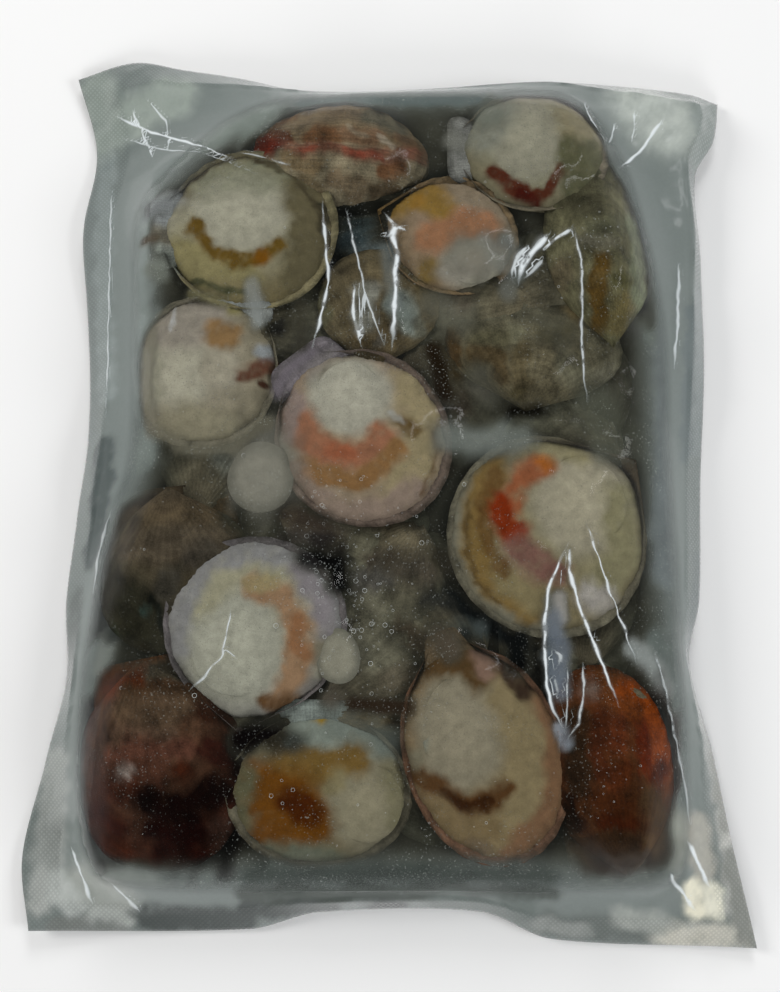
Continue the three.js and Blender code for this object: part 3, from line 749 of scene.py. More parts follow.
def mantle(pile, shell, crown, fall, inner, outer, strokes, seed):
    """The body in a shell: a cushion with a frilled edge and its organs painted on."""

    def warp(unit):
        reach = np.arccos(np.clip(np.abs(unit[:, 2]), 0, 1)) / (math.pi / 2)
        angle = np.arctan2(unit[:, 0], unit[:, 1])
        near_edge = soft_step(0.72, 0.95, reach)
        ring = 40 * reach
        fold = wobble(np.cos(angle) * 14, np.sin(angle) * 14, 4.5, seed)
        size = np.minimum(outline(angle), 1.06) * (0.975 + 0.015 * fold * near_edge)
        across = np.sin(angle) * reach * size
        along = np.cos(angle) * reach * size
        frill = 0.16 * np.sin(angle * 66 + 2.4 * fold) * near_edge
        lumps = 0.4 * wobble(across * 30, along * 30, 11, seed + 1)
        gills = 0.12 * np.sin(ring * 1.5 + 2 * fold) * soft_step(0.35, 0.5, reach)
        top = crown - fall * reach ** 3 - 1.0 + frill + lumps + gills
        top -= 1.6 * soft_step(0.88, 1.0, reach)
        low = crown - fall - 9 + 6.2 * reach ** 2
        height = np.where(unit[:, 2] >= -1e-6, top, low)
        height = np.where(np.abs(unit[:, 2]) < 1e-6, (top + low) / 2, height)
        places = set_down(shell, across, along, height)
        share = soft_step(0.35, 0.9, reach)[:, None]
        tint = linear(*inner) * (1 - share) + linear(*outer) * share
        patchy = 0.12 * wobble(across * 30, along * 30, 8, seed + 2)
        tint *= (1 + 0.10 * fold * near_edge + patchy)[:, None]
        tint = muscle_tone_and_highlight(places[:, 0], places[:, 1], tint)
        tint, relief = paint(places[:, 0], places[:, 1], tint, strokes)
        # Painted shade: the mantle darkens towards its rim, where it dips into the shell, less in hazy
        # shells.
        tint *= (1 - (0.2 if shell.get("hazy") else 0.45) * soft_step(0.9, 1.0, reach))[:, None]
        places[:, 2] += np.where(unit[:, 2] > 1e-6, relief, 0)
        grain = np.stack([angle * 20, reach, 0 * reach + seed], axis=-1)
        return places, tint, grain

    pile.ball(200, 56, warp)


# Height of the middle, fall to the rim, colours at the middle and at the rim, and the strokes.
MANTLES = {
    "A": (27.4, 4, (138, 134, 110), (100, 92, 66), [
        ([(-86, 94.9), (-80.4, 95.7)], 6.2, (133, 138, 138), 0.9),
        ([(-84.9, 83.4), (-77.9, 84.1)], 2.4, (98, 88, 70), 0.7),
        ([(-83.9, 73.4)], 4.8, (150, 155, 144), 0.9),
        ([(-65.4, 107), (-42.3, 108.5)], 7.6, (116, 118, 98), 0.6),
        ([(-30.4, 100.2), (-28.5, 85.2), (-31.1, 68.6)], 6.2, (90, 84, 62), 0.95),
        ([(-25, 96.4), (-21.8, 87.1), (-20.9, 73.4)], 1.4, (44, 43, 32), 0.9),
        ([(-74.5, 88.2)], 5.9, (138, 135, 114), 0.95, 0.8),
        ([(-74.9, 77.8), (-66.2, 71.2), (-52.8, 68.3)], 6.2, (129, 122, 86), 1),
        ([(-60.8, 64.3), (-48.5, 64.6)], 3.1, (118, 110, 80), 0.8),
        ([(-68.1, 86.7), (-63.6, 78.9), (-53.7, 74.1), (-44.5, 75.6),
          (-39, 80.4)], 2.4, (92, 72, 28), 0.9, 0.5),
        ([(-44.5, 75.6)], 2.8, (112, 74, 20), 0.8),
        ([(-78.1, 67.9), (-66.8, 67.5), (-58.3, 63.9), (-50.9, 62.4)], 1.2, (60, 63, 44), 0.75),
        ([(-75.8, 63.5)], 2.4, (34, 46, 36), 0.95),
        ([(-73.5, 103.2), (-64.8, 111.5), (-54.9, 114.9), (-44.1, 112.6), (-35.1, 106.2), (-27.2, 97.5),
          (-22.9, 90.1), (-21.6, 73.4)], 1, (64, 58, 42), 0.8, 0.4)]),
    "B": (26.5, 4, (138, 132, 114), (122, 116, 97), [
        ([(-77.1, 58.8), (-66, 61.7), (-64, 52.3), (-75.4, 49.4)], 6.9, (136, 130, 118), 0.95),
        ([(-76.1, 59.5), (-75.7, 49.4)], 0.9, (160, 160, 156), 0.8, 0.3),
        ([(-59.4, 48.3), (-56.5, 46.5)], 4.1, (128, 102, 68), 0.95, 0.5),
        ([(-54.1, 60.2)], 3.8, (124, 118, 80), 0.9),
        ([(-51.4, 32.9), (-45.2, 35.4), (-41.1, 37.9)], 2.4, (88, 58, 44), 0.9, 0.5),
        ([(-43.7, 30)], 1.7, (56, 34, 24), 0.9), ([(-43.2, 42.2)], 3.1, (134, 139, 140), 0.9, 0.3),
        ([(-75, 14.9), (-59.6, 13.8)], 6.9, (132, 127, 106), 0.95),
        ([(-82.3, 25.4), (-83.5, 41.5)], 3.4, (134, 132, 114), 0.95),
        ([(-43.6, 65), (-40.7, 55.2)], 1.2, (56, 38, 26), 0.9)]),
    "D": (27.2, 4, (132, 131, 110), (114, 109, 87), [
        ([(32, 122.2), (39.3, 131.4)], 6.9, (122, 124, 112), 0.8),
        ([(67, 128.7), (71.3, 115.3)], 6.2, (124, 117, 92), 0.9),
        ([(36.9, 108.5), (43.2, 102.4), (50.2, 98.3), (55.9, 100.9),
          (61.8, 107)], 2.1, (76, 38, 24), 0.95, 0.3),
        ([(46.7, 99), (53.7, 97.5)], 1.7, (60, 16, 8), 0.95), ([(71.8, 108.5)], 4.1, (94, 92, 70), 0.9),
        ([(66.3, 116.8), (66.1, 108.5), (68.7, 99.4)], 4.5, (82, 82, 60), 0.9),
        ([(73.4, 115.3), (77.4, 105.4)], 4.5, (86, 86, 64), 0.9)]),
    "E": (26.2, 4, (130, 113, 93), (118, 103, 81), [
        ([(3.3, 97.9), (12.6, 102.4), (18.2, 95.7)], 5.5, (122, 97, 46), 1, 0.4),
        ([(10.4, 97.9)], 3.1, (132, 99, 38), 0.9),
        ([(28.9, 101.7), (40.2, 95.7)], 6.9, (126, 114, 95), 0.9),
        ([(14.6, 82.3), (23.5, 87.5), (33.7, 88.2)], 4.8, (140, 102, 74), 0.9, 0.6),
        ([(14.5, 71.2)], 3.8, (108, 90, 50), 0.8), ([(39.3, 83)], 3.4, (112, 100, 84), 0.8),
        ([(22.3, 71.2), (31.4, 73.4)], 4.5, (142, 138, 126), 0.7)]),
    "I": (28, 4, (138, 125, 101), (132, 118, 100), [
        ([(7.4, 31.5), (12.5, 17.3), (10.7, 2), (3.2, -7.7)], 5.5, (139, 128, 98), 0.95, 0.2),
        ([(-30.8, 16.6), (-26.2, 8.6), (-18, 3.7), (-9.4, 4.4), (-3.6, 9.6)], 4.8, (138, 96, 72), 1, 0.9),
        ([(-20, 6.5), (-13.2, 4.4)], 2.8, (142, 86, 60), 0.85, 0.2),
        ([(-30.2, 1.3), (-22, -2.9), (-11.1, -4.6), (-1.2, 1.3),
          (3.2, 7.2)], 2.8, (126, 95, 60), 0.95, 0.4),
        ([(-31.9, -0.8), (-26.3, -10.8), (-14.7, -17), (-0.9, -14.6),
          (9.3, -6.3)], 4.1, (131, 116, 103), 0.9, 0.3),
        ([(4.6, 16.6), (8, 13.8)], 2.4, (84, 66, 34), 0.8), ([(2.9, 18.4)], 1.7, (150, 152, 146), 0.6),
        ([(-32.9, 24.4), (-34.5, 13.1)], 3.1, (128, 114, 106), 0.9),
        ([(18, 16.6), (16.9, 4), (12.1, -8.4)], 0.8, (88, 68, 46), 0.6)]),
    "J": (28.2, 4, (125, 119, 92), (119, 111, 86), [
        ([(27.1, -4.3), (22.2, -18), (22.4, -31.6), (28.6, -43.7), (40.6, -52.3),
          (52.5, -55.6)], 3.4, (119, 117, 101), 0.95, 0.4),
        ([(36, -0.1), (29.7, -13.9), (29.2, -28.2), (34.7, -40.3),
          (47.3, -48.7)], 4.1, (112, 92, 53), 0.95, 0.1),
        ([(40.1, -38.3), (50.7, -44.7), (64.8, -45)], 4.5, (123, 113, 82), 0.9, 0.3),
        ([(37, -0.8), (32.8, -12.2), (33.2, -26.5), (39.2, -35.6)], 2.1, (88, 64, 34), 0.7),
        ([(27.7, -11.2), (26.2, -24.8), (30, -39.3), (37.3, -46.3)], 0.9, (84, 68, 40), 0.8),
        ([(52.7, 2), (45.1, -4.3), (40.9, -12.9), (40.4, -20.7)], 4.1, (132, 80, 52), 0.85, 1),
        ([(37.5, -12.5), (39.1, -20.1), (44.1, -22.8)], 3.3, (116, 42, 14), 0.95, 0.4),
        ([(53.5, 3)], 3.4, (148, 87, 34), 0.95, 0.3),
        ([(44, -27.5), (49.3, -32.3), (55.3, -36)], 4.8, (112, 82, 72), 0.85, 0.9),
        ([(53.6, 9.6), (64.8, 6.1)], 4.5, (128, 122, 92), 0.9),
        ([(79.3, -11.2), (80.1, -28.2), (71.6, -41.7)], 5.9, (124, 120, 92), 0.9),
        ([(67.5, -43.7), (72.8, -45)], 4.5, (152, 148, 140), 0.95),
        ([(72.5, -55)], 2.4, (78, 56, 42), 0.8)]),
    "L": (28.2, 4, (146, 142, 121), (134, 133, 124), [
        ([(-65.1, -45.7), (-58.6, -37), (-48, -32.3), (-37.5, -36)], 5.9, (144, 141, 118), 0.95, 0.3),
        ([(-71.4, -59.9), (-69.8, -45), (-61.8, -32.6), (-46.7, -27.2), (-31.5, -30.6), (-21.3, -41.7),
          (-17.9, -53.3)], 4.1, (125, 125, 123), 0.9, 0.4),
        ([(-29.8, -35.3), (-22.9, -45), (-20.5, -55)], 3.4, (126, 121, 123), 0.8),
        ([(-44.5, -40.7), (-35.7, -44.3), (-29.9, -53.3), (-29.4, -63.6), (-32.6, -72.7),
          (-35.8, -78.6)], 4.1, (140, 113, 86), 1, 0.9),
        ([(-30.6, -51.7), (-29.1, -62.2)], 2.4, (132, 95, 65), 0.85, 0.2),
        ([(-46.5, -40), (-39.1, -38.6)], 2.4, (140, 132, 96), 0.6),
        ([(-22.8, -61.6)], 2.8, (120, 112, 92), 0.8),
        ([(-23.3, -76.6), (-12.1, -76.6)], 4.5, (112, 108, 104), 0.9),
        ([(-39.8, -78.2), (-28.5, -80.2)], 2.8, (86, 62, 38), 0.85)]),
    "O": (26.2, 4, (104, 82, 48), (100, 95, 75), [
        ([(-29.1, -87), (-12.6, -89.2), (4.4, -90.8)], 6.2, (121, 129, 119), 1, 0.2),
        ([(-34.5, -100.1), (-22.4, -99.2), (-11.3, -96.6)], 4.8, (106, 84, 43), 0.95, 0.3),
        ([(-41.9, -106.8), (-32.1, -108.7), (-26.8, -118.1), (-39, -121.3)], 7.2, (94, 58, 14), 1, 0.9),
        ([(-32.1, -109.9), (-26.8, -114)], 4.5, (62, 26, 2), 0.85),
        ([(-47.2, -103.6), (-48.9, -115)], 3.4, (86, 84, 62), 0.8),
        ([(2.5, -103.6), (5.7, -116.9)], 4.5, (112, 108, 84), 0.9),
        ([(-38.9, -127.5), (-18.9, -129.7)], 3.8, (92, 96, 80), 0.9),
        ([(-17.1, -104.9)], 3.8, (118, 110, 80), 0.8), ([(-22.2, -83.1)], 2.1, (142, 116, 38), 0.8)]),
    "P": (28.2, 4, (121, 109, 81), (110, 93, 67), [
        ([(15.1, -65.5), (27.1, -65.5), (29.7, -70.1)], 4.8, (76, 58, 34), 1, 0.2),
        ([(29.8, -58.9), (32.6, -70.1)], 2.4, (116, 94, 80), 0.9, 0.5),
        ([(39.5, -77.9), (45.2, -90.8), (44.9, -106.8), (36.2, -119.4)], 6.2, (123, 111, 82), 0.95, 0.3),
        ([(52, -78.6), (55.7, -90.8), (55, -106.8), (49.5, -119.4),
          (40, -125.6)], 3.4, (113, 86, 62), 0.95, 0.4),
        ([(10.6, -102.3), (19.1, -108.4), (27.2, -111.8), (34.4, -109.9),
          (37, -106.1)], 3.1, (78, 54, 30), 0.85, 0.3),
        ([(18.1, -108.4), (27.2, -111.8), (32.4, -110.6)], 1.6, (50, 28, 10), 0.95),
        ([(13.5, -114), (23.2, -119.1), (32.9, -119.4)], 4.5, (112, 97, 69), 0.9, 0.2),
        ([(9.3, -97.2)], 3.1, (108, 104, 86), 0.8), ([(29.6, -125.9)], 3.1, (96, 84, 66), 0.8),
        ([(36.4, -64.9), (40.9, -69.5), (46.1, -75.3)], 2.4, (50, 36, 25), 0.85)]),
}
for number, (name, (crown, fall, inner, outer, strokes)) in enumerate(MANTLES.items()):
    mantle(flesh_pile, OPEN_SHELLS[name], crown, fall, inner, outer, strokes, 80 + 4 * number)
flesh_material = organic_material("scallop_flesh", 260.0, 0.5, 0.4, 0.25)
flesh = object_from(flesh_pile.bm, "mantles_and_roe", flesh_material)
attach(flesh, "root")


# ---------------------------------------------------------------------------------------------
# Muscles
# The round white adductor muscles: firm drums of fibre with a smooth domed end, and the small
# tender lobe that some have beside them.

muscle_pile = Pile()


def muscle(pile, x, y, across, along, crown, colour, seed, loose):
    """A drum with a domed top. A loose one greys towards its edge."""

    def warp(unit):
        angle = np.arctan2(unit[:, 1], unit[:, 0])
        out = np.arccos(np.clip(np.abs(unit[:, 2]), 0, 1)) / (math.pi / 2)
        uneven = 1 + 0.05 * wobble(unit[:, 0] * 9, unit[:, 1] * 9, 16, seed)
        px = 0.86 * np.cos(angle) * out * across * uneven
        py = 0.86 * np.sin(angle) * out * along * uneven
        top = crown - 0.8 - 1.8 * out ** 2 + 0.2 * wobble(px, py, 9, seed + 1)
        height = np.where(unit[:, 2] > 0, top, crown - 9 + 5 * out ** 4)
        places = np.stack([x + px, y + py, height], axis=-1)
        tint = muscle_tone_and_highlight(places[:, 0], places[:, 1], 0 * places + linear(*colour) * 0.8)
        if loose:
            fading = 0.75 * soft_step(0.55, 1.0, out)[:, None]
            tint = tint * (1 - fading) + linear(92, 92, 82) * fading
        else:
            tint, _ = paint(places[:, 0], places[:, 1], tint, all_strokes)
        grain = np.stack([angle * 6, out, 0 * out + seed], axis=-1)
        return places, tint, grain

    pile.ball(96, 48, warp)


all_strokes = [stroke for mantle_colours in MANTLES.values() for stroke in mantle_colours[4]]
for number, (x, y, across, along, crown, colour) in enumerate(MUSCLES):
    muscle(muscle_pile, x, y, across, along, crown, colour, 140 + 4 * number,
           number >= len(MUSCLES) - LOOSE_MUSCLES)
muscle_material = organic_material("scallop_muscle", 260.0, 0.5, 0.4, 0.25)
muscles = object_from(muscle_pile.bm, "adductor_muscles", muscle_material)
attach(muscles, "root")


# ---------------------------------------------------------------------------------------------
# Deep shade
# A dark sheet low in the bag, painted shade for the dark deep between and under the shells. It
# fills the lower half of the block, and pales to grey ice at the sides.

# The pouch's four edges, each from one end to the other, and the weld's width along them.
LEFT_EDGE = [
    [-156, -122.5], [-131, -126.5], [-99, -119.5], [-72, -113.5], [-44, -115.5], [-15, -112.5],
    [14, -109.5], [67, -112.5], [94, -114.5], [126, -111.5], [156, -119.5],
]
RIGHT_EDGE = [
    [-162, 125.5], [-129, 118.5], [-96, 113.5], [-65, 106.5], [-44, 110.5], [14, 114.5],
    [82, 117.5], [116, 116], [130, 123.5], [146, 126.5],
]
BOTTOM_EDGE = [[-122.5, -156], [-47.5, -156], [-23.5, -150], [31.5, -150], [55.5, -159], [125.5, -162]]
TOP_EDGE = [
    [-119.5, 156], [-97.5, 162], [-78.5, 159], [-57.5, 156], [-30.5, 151], [12.5, 152],
    [58.5, 154], [81.5, 153], [115.5, 150], [126.5, 146],
]
LEFT_WELD = [[-156, 12.5], [-120, 13], [-72, 5], [-42, 8.5], [12, 7.5], [98, 12], [156, 13]]
RIGHT_WELD = [
    [-162, 12.5], [-115, 9], [-72, 3.5], [-42, 7], [12, 7.5], [68, 6], [105, 4.5], [146, 9],
]
BOTTOM_WELD = [[-122.5, 11], [-47.5, 9], [-23.5, 5.5], [31.5, 5.5], [55.5, 9], [125.5, 11]]
TOP_WELD = [[-119.5, 13], [-57.5, 8], [-30.5, 5], [58.5, 5], [81.5, 7], [126.5, 9]]
BODY_OUTLINE = [
    [-101, -134], [-84, -142], [0, -142], [86, -142], [101, -133], [103, -112], [103.5, -75],
    [102.5, -30], [101.5, 13], [101, 53], [96, 86], [87, 120], [70, 142], [46, 147], [-22, 146],
    [-54, 138], [-80, 118], [-94, 97], [-94, 65], [-93, 9], [-100, -16], [-104.5, -44],
    [-107.5, -79], [-107, -112],
]
ICE_LEVEL = 23
BODY_MIDDLE = 6
TOP_ROUNDING = 15
BASE_ROUNDING = 11
FILM_THICKNESS = 0.35
ARC_STEPS = 6
RAY_START = 80
# What lies inside this half width and half length, in metres, is too far in to be pressed.
CORE_HALF_WIDTH = 0.070
CORE_HALF_LENGTH = 0.100


def smooth_line(points, at):
    """A smooth curve through given points, as the pouch's edges have."""
    knots = np.array(points, dtype=float)
    at = np.asarray(at, dtype=float)
    last = len(knots) - 2
    piece = np.clip(np.searchsorted(knots[:, 0], at) - 1, 0, last)
    start, end = knots[piece], knots[piece + 1]
    before, after = knots[np.maximum(piece - 1, 0)], knots[np.minimum(piece + 2, last + 1)]
    step = end[..., 0] - start[..., 0]
    slope_in = (end[..., 1] - before[..., 1]) / (end[..., 0] - before[..., 0]) * step
    slope_out = (after[..., 1] - start[..., 1]) / (after[..., 0] - start[..., 0]) * step
    t = np.clip((at - start[..., 0]) / step, 0, 1)
    return (start[..., 1] * (2 * t ** 3 - 3 * t ** 2 + 1) + slope_in * (t ** 3 - 2 * t ** 2 + t)
            + end[..., 1] * (3 * t ** 2 - 2 * t ** 3) + slope_out * (t ** 3 - t ** 2))


def edge_point(edge, share):
    at = edge[0][0] + (edge[-1][0] - edge[0][0]) * np.asarray(share, dtype=float)
    return at, smooth_line(edge, at)


def pouch_place(u, v):
    """Place on the flat pouch of the shares u across it and v along it."""
    left_y, left_x = edge_point(LEFT_EDGE, v)
    right_y, right_x = edge_point(RIGHT_EDGE, v)
    bottom_x, bottom_y = edge_point(BOTTOM_EDGE, u)
    top_x, top_y = edge_point(TOP_EDGE, u)
    x = (1 - v) * bottom_x + v * top_x + (1 - u) * left_x + u * right_x
    y = (1 - v) * bottom_y + v * top_y + (1 - u) * left_y + u * right_y
    shares = ((1 - u) * (1 - v), u * (1 - v), (1 - u) * v, u * v)
    corners = (BOTTOM_EDGE[0], BOTTOM_EDGE[-1], TOP_EDGE[0], TOP_EDGE[-1])
    for share, (corner_x, corner_y) in zip(shares, corners):
        x = x - share * corner_x
        y = y - share * corner_y
    return x, y


def border_at(u, v):
    """Place, share of the weld's width in from the edge, and height of the border's middle."""
    x, y = pouch_place(u, v)
    width = pouch_place(1 + 0 * u, v)[0] - pouch_place(0 * u, v)[0]
    length = pouch_place(u, 1 + 0 * v)[1] - pouch_place(u, 0 * v)[1]
    climb, weights, share = 0, 0, np.full(x.shape, np.inf)
    for away, weld in ((u * width, smooth_line(LEFT_WELD, y)),
                       ((1 - u) * width, smooth_line(RIGHT_WELD, y)),
                       (v * length, smooth_line(BOTTOM_WELD, x)),
                       ((1 - v) * length, smooth_line(TOP_WELD, x))):
        weight = (away / weld + 0.05) ** -3.0
        climb = climb + weight * 0.8 * np.sqrt(np.maximum(13 ** 2 - weld ** 2, 0))
        weights = weights + weight
        share = np.minimum(share, away / weld)
    ripple = 0.5 + 0.5 * np.sin((y + 0.6 * x) / 86 * 2 * math.pi)
    return x, y, share, 1.4 + 3.2 * ripple + np.minimum(share, 1) * climb / weights


def body_ring():
    """The filled body's outline, rounded through its points."""
    points = np.array(BODY_OUTLINE, dtype=float)
    ring = []
    for k in range(len(points)):
        p0, p1, p2, p3 = (points[(k + n) % len(points)] for n in (-1, 0, 1, 2))
        t = np.linspace(0, 1, ARC_STEPS, endpoint=False)[:, None]
        ring.append(0.5 * (2 * p1 + (p2 - p0) * t + (2 * p0 - 5 * p1 + 4 * p2 - p3) * t ** 2
                           + (3 * p1 - p0 - 3 * p2 + p3) * t ** 3))
    return np.concatenate(ring)


RING = body_ring()


def depth_in_body(x, y):
    """Distance inside the body from its outline, 0 outside it."""
    inside = np.zeros(x.shape, dtype=bool)
    nearest = np.full(x.shape, np.inf)
    for (x0, y0), (x1, y1) in zip(RING, np.roll(RING, -1, axis=0)):
        if y0 != y1:
            crossing = ((y0 > y) != (y1 > y)) & (x < (x1 - x0) * (y - y0) / (y1 - y0) + x0)
            inside ^= crossing
        nearest = np.minimum(nearest, line_distance(x, y, [(x0, y0), (x1, y1)]))
    return np.where(inside, nearest, 0)


def quarter_round(depth, width):
    return np.sqrt(1 - np.maximum(1 - depth / width, 0) ** 2)


def ray_heights(pieces, x, y, missing):
    """Height of the highest of some pieces at each place, in millimetres."""
    places, faces, count = [], [], 0
    for piece in pieces:
        mesh = piece.data
        co = np.empty(len(mesh.vertices) * 3, dtype=np.float32)
        mesh.vertices.foreach_get("co", co)
        mesh.calc_loop_triangles()
        corner = np.empty(len(mesh.loop_triangles) * 3, dtype=np.int32)
        mesh.loop_triangles.foreach_get("vertices", corner)
        places.append(co.reshape(-1, 3) * MM_PER_M)
        faces.append(corner.reshape(-1, 3) + count)
        count += len(mesh.vertices)
    tree = BVHTree.FromPolygons(np.concatenate(places).tolist(), np.concatenate(faces).tolist())
    heights = np.full(x.size, float(missing))
    down = Vector((0, 0, -1))
    for k, (px, py) in enumerate(zip(x.ravel(), y.ravel())):
        hit = tree.ray_cast(Vector((px, py, RAY_START)), down)[0]
        if hit is not None:
            heights[k] = hit.z
    return heights.reshape(x.shape)


def body_grid(columns, rows):
    """Places inside the body's outline, as a grid stretched between its four sides."""
    corners = [0, 4 * ARC_STEPS, 12 * ARC_STEPS, 15 * ARC_STEPS, len(RING)]
    ring = np.concatenate([RING, RING[:1]])
    sides = []
    for first, last, count in zip(corners, corners[1:], (columns, rows, columns, rows)):
        run = ring[first:last + 1]
        length = np.concatenate([[0], np.cumsum(np.hypot(*np.diff(run, axis=0).T))])
        at = np.linspace(0, length[-1], count)
        sides.append(np.stack([np.interp(at, length, run[:, axis]) for axis in (0, 1)], axis=-1))
    bottom, right, top, left = sides[0], sides[1], sides[2][::-1], sides[3][::-1]
    a, b = np.meshgrid(np.linspace(0, 1, columns), np.linspace(0, 1, rows))
    a, b = a[..., None], b[..., None]
    place = ((1 - b) * bottom[None] + b * top[None] + (1 - a) * left[:, None] + a * right[:, None]
             - (1 - a) * (1 - b) * bottom[0] - a * (1 - b) * bottom[-1]
             - (1 - a) * b * top[0] - a * b * top[-1])
    return place[..., 0], place[..., 1]


def press_in(piece):
    """Presses what lies near the body's edge down to where the film rounds over it."""
    mesh = piece.data
    co = np.empty(len(mesh.vertices) * 3, dtype=np.float32)
    mesh.vertices.foreach_get("co", co)
    places = co.reshape(-1, 3)
    outer = (np.abs(places[:, 0]) > CORE_HALF_WIDTH) | (np.abs(places[:, 1]) > CORE_HALF_LENGTH)
    room = np.ones(len(places))
    depth = depth_in_body(*(places[outer, :2].T * MM_PER_M))
    room[outer] = quarter_round(np.maximum(depth - 1.4, 0), TOP_ROUNDING)
    over = np.maximum(places[:, 2] - BODY_MIDDLE / MM_PER_M, 0)
    places[:, 2] -= over * (1 - room)
    mesh.vertices.foreach_set("co", places.ravel())
    mesh.update()


for piece in (opened, closed, below, flesh, muscles):
    press_in(piece)

# The shade bed's top is a lumpy sheet low in the block, and its underside lies on the back film.
shade_bed_pile = Pile()
x, y = body_grid(81, 101)
round_top = quarter_round(depth_in_body(x, y), 12)
top_z = BODY_MIDDLE + (5 + 2.4 * wobble(x, y, 22, 51) + 1.0 * wobble(x, y, 9, 52)) * round_top
base_z = BODY_MIDDLE - (BODY_MIDDLE - 1.4) * round_top
# Painted shade: near black and uneven, paling to grey ice near the outline.
tint = 0 * x[..., None] + linear(20, 24, 24)
tint = tint * (1 + 0.4 * wobble(x, y, 18, 53))[..., None]
paling = 1 - soft_step(4, 17, depth_in_body(x, y))[..., None]
tint = tint * (1 - paling) + linear(112, 121, 117) * paling
grain = np.stack([x * 0, y * 0, x * 0], axis=-1)
shade_bed_pile.skin(np.stack([x, y, top_z], axis=-1), np.stack([x, y, base_z], axis=-1), tint, tint, grain)
shade_bed_material = organic_material("deep_shade_bed", 90.0, 0.8, 0.5, 0.2)
shade_bed = object_from(shade_bed_pile.bm, "deep_shade_bed", shade_bed_material)
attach(shade_bed, "root")


# ---------------------------------------------------------------------------------------------
# Film
# A clear bag of two plastic sheets, welded all round and sucked tight on the frozen block. The
# weld is pressed dull, and the film stands up in creases where it had to gather. Bluish white
# highlights are painted along the creases.

CELLS_ACROSS = 228
CELLS_ALONG = 294
POUCH_LENGTH = 324
VACUUM_CURVE = 1 / 32
# The drape is found on every sixth cell first, and then on all of them.
COARSE = 6
COARSE_PASSES = 900
DRAPE_PASSES = 500
NOWHERE = 1000
u, v = np.meshgrid(np.linspace(0, 1, CELLS_ACROSS + 1), np.linspace(0, 1, CELLS_ALONG + 1))
film_x, film_y, film_share, film_middle = border_at(u, v)
film_depth = depth_in_body(film_x, film_y)
in_weld = film_share < 1
body_round = quarter_round(film_depth, TOP_ROUNDING)
contents = ray_heights([opened, closed, below, flesh, muscles], film_x, film_y, 0)
contents += 0.9 + 1.2 * (1 - body_round)
ice = np.where(film_depth > 0, BODY_MIDDLE + (ICE_LEVEL - BODY_MIDDLE) * body_round, -NOWHERE)
held = np.where(film_depth > 0, contents, -NOWHERE)
limit = np.maximum(np.maximum(ice, held), film_middle + FILM_THICKNESS)
limit = np.where(in_weld, film_middle + FILM_THICKNESS, limit)


def drape(limit, fixed, step, passes, start=None):
    """Stretches a sheet over what it lies on, sucked down a little between its supports."""
    z = (limit if start is None else np.maximum(start, limit)).copy()
    pull = VACUUM_CURVE * step ** 2 / 4
    for _ in range(passes):
        inner = (z[1:-1, :-2] + z[1:-1, 2:] + z[:-2, 1:-1] + z[2:, 1:-1]) / 4 - pull
        inner = np.maximum(inner, limit[1:-1, 1:-1])
        z[1:-1, 1:-1] = np.where(fixed[1:-1, 1:-1], z[1:-1, 1:-1], inner)
    return z


def soften(values, passes):
    """Evens out a grid of values, but for its outermost lines."""
    values = values.copy()
    for _ in range(passes):
        around = values[1:-1, :-2] + values[1:-1, 2:] + values[:-2, 1:-1] + values[2:, 1:-1]
        values[1:-1, 1:-1] = values[1:-1, 1:-1] / 2 + around / 8
    return values


step = POUCH_LENGTH / CELLS_ALONG
coarse = drape(limit[::COARSE, ::COARSE], in_weld[::COARSE, ::COARSE], step * COARSE, COARSE_PASSES)
rows_at, columns_at = np.arange(limit.shape[0]) / COARSE, np.arange(limit.shape[1]) / COARSE
stretched = np.array([np.interp(columns_at, np.arange(coarse.shape[1]), row) for row in coarse])
start = np.array([np.interp(rows_at, np.arange(coarse.shape[0]), column) for column in stretched.T]).T
film_z = drape(limit, in_weld, step, DRAPE_PASSES, start)
film_z = np.where(in_weld, film_z, np.maximum(soften(film_z, 18), film_z - 0.4))
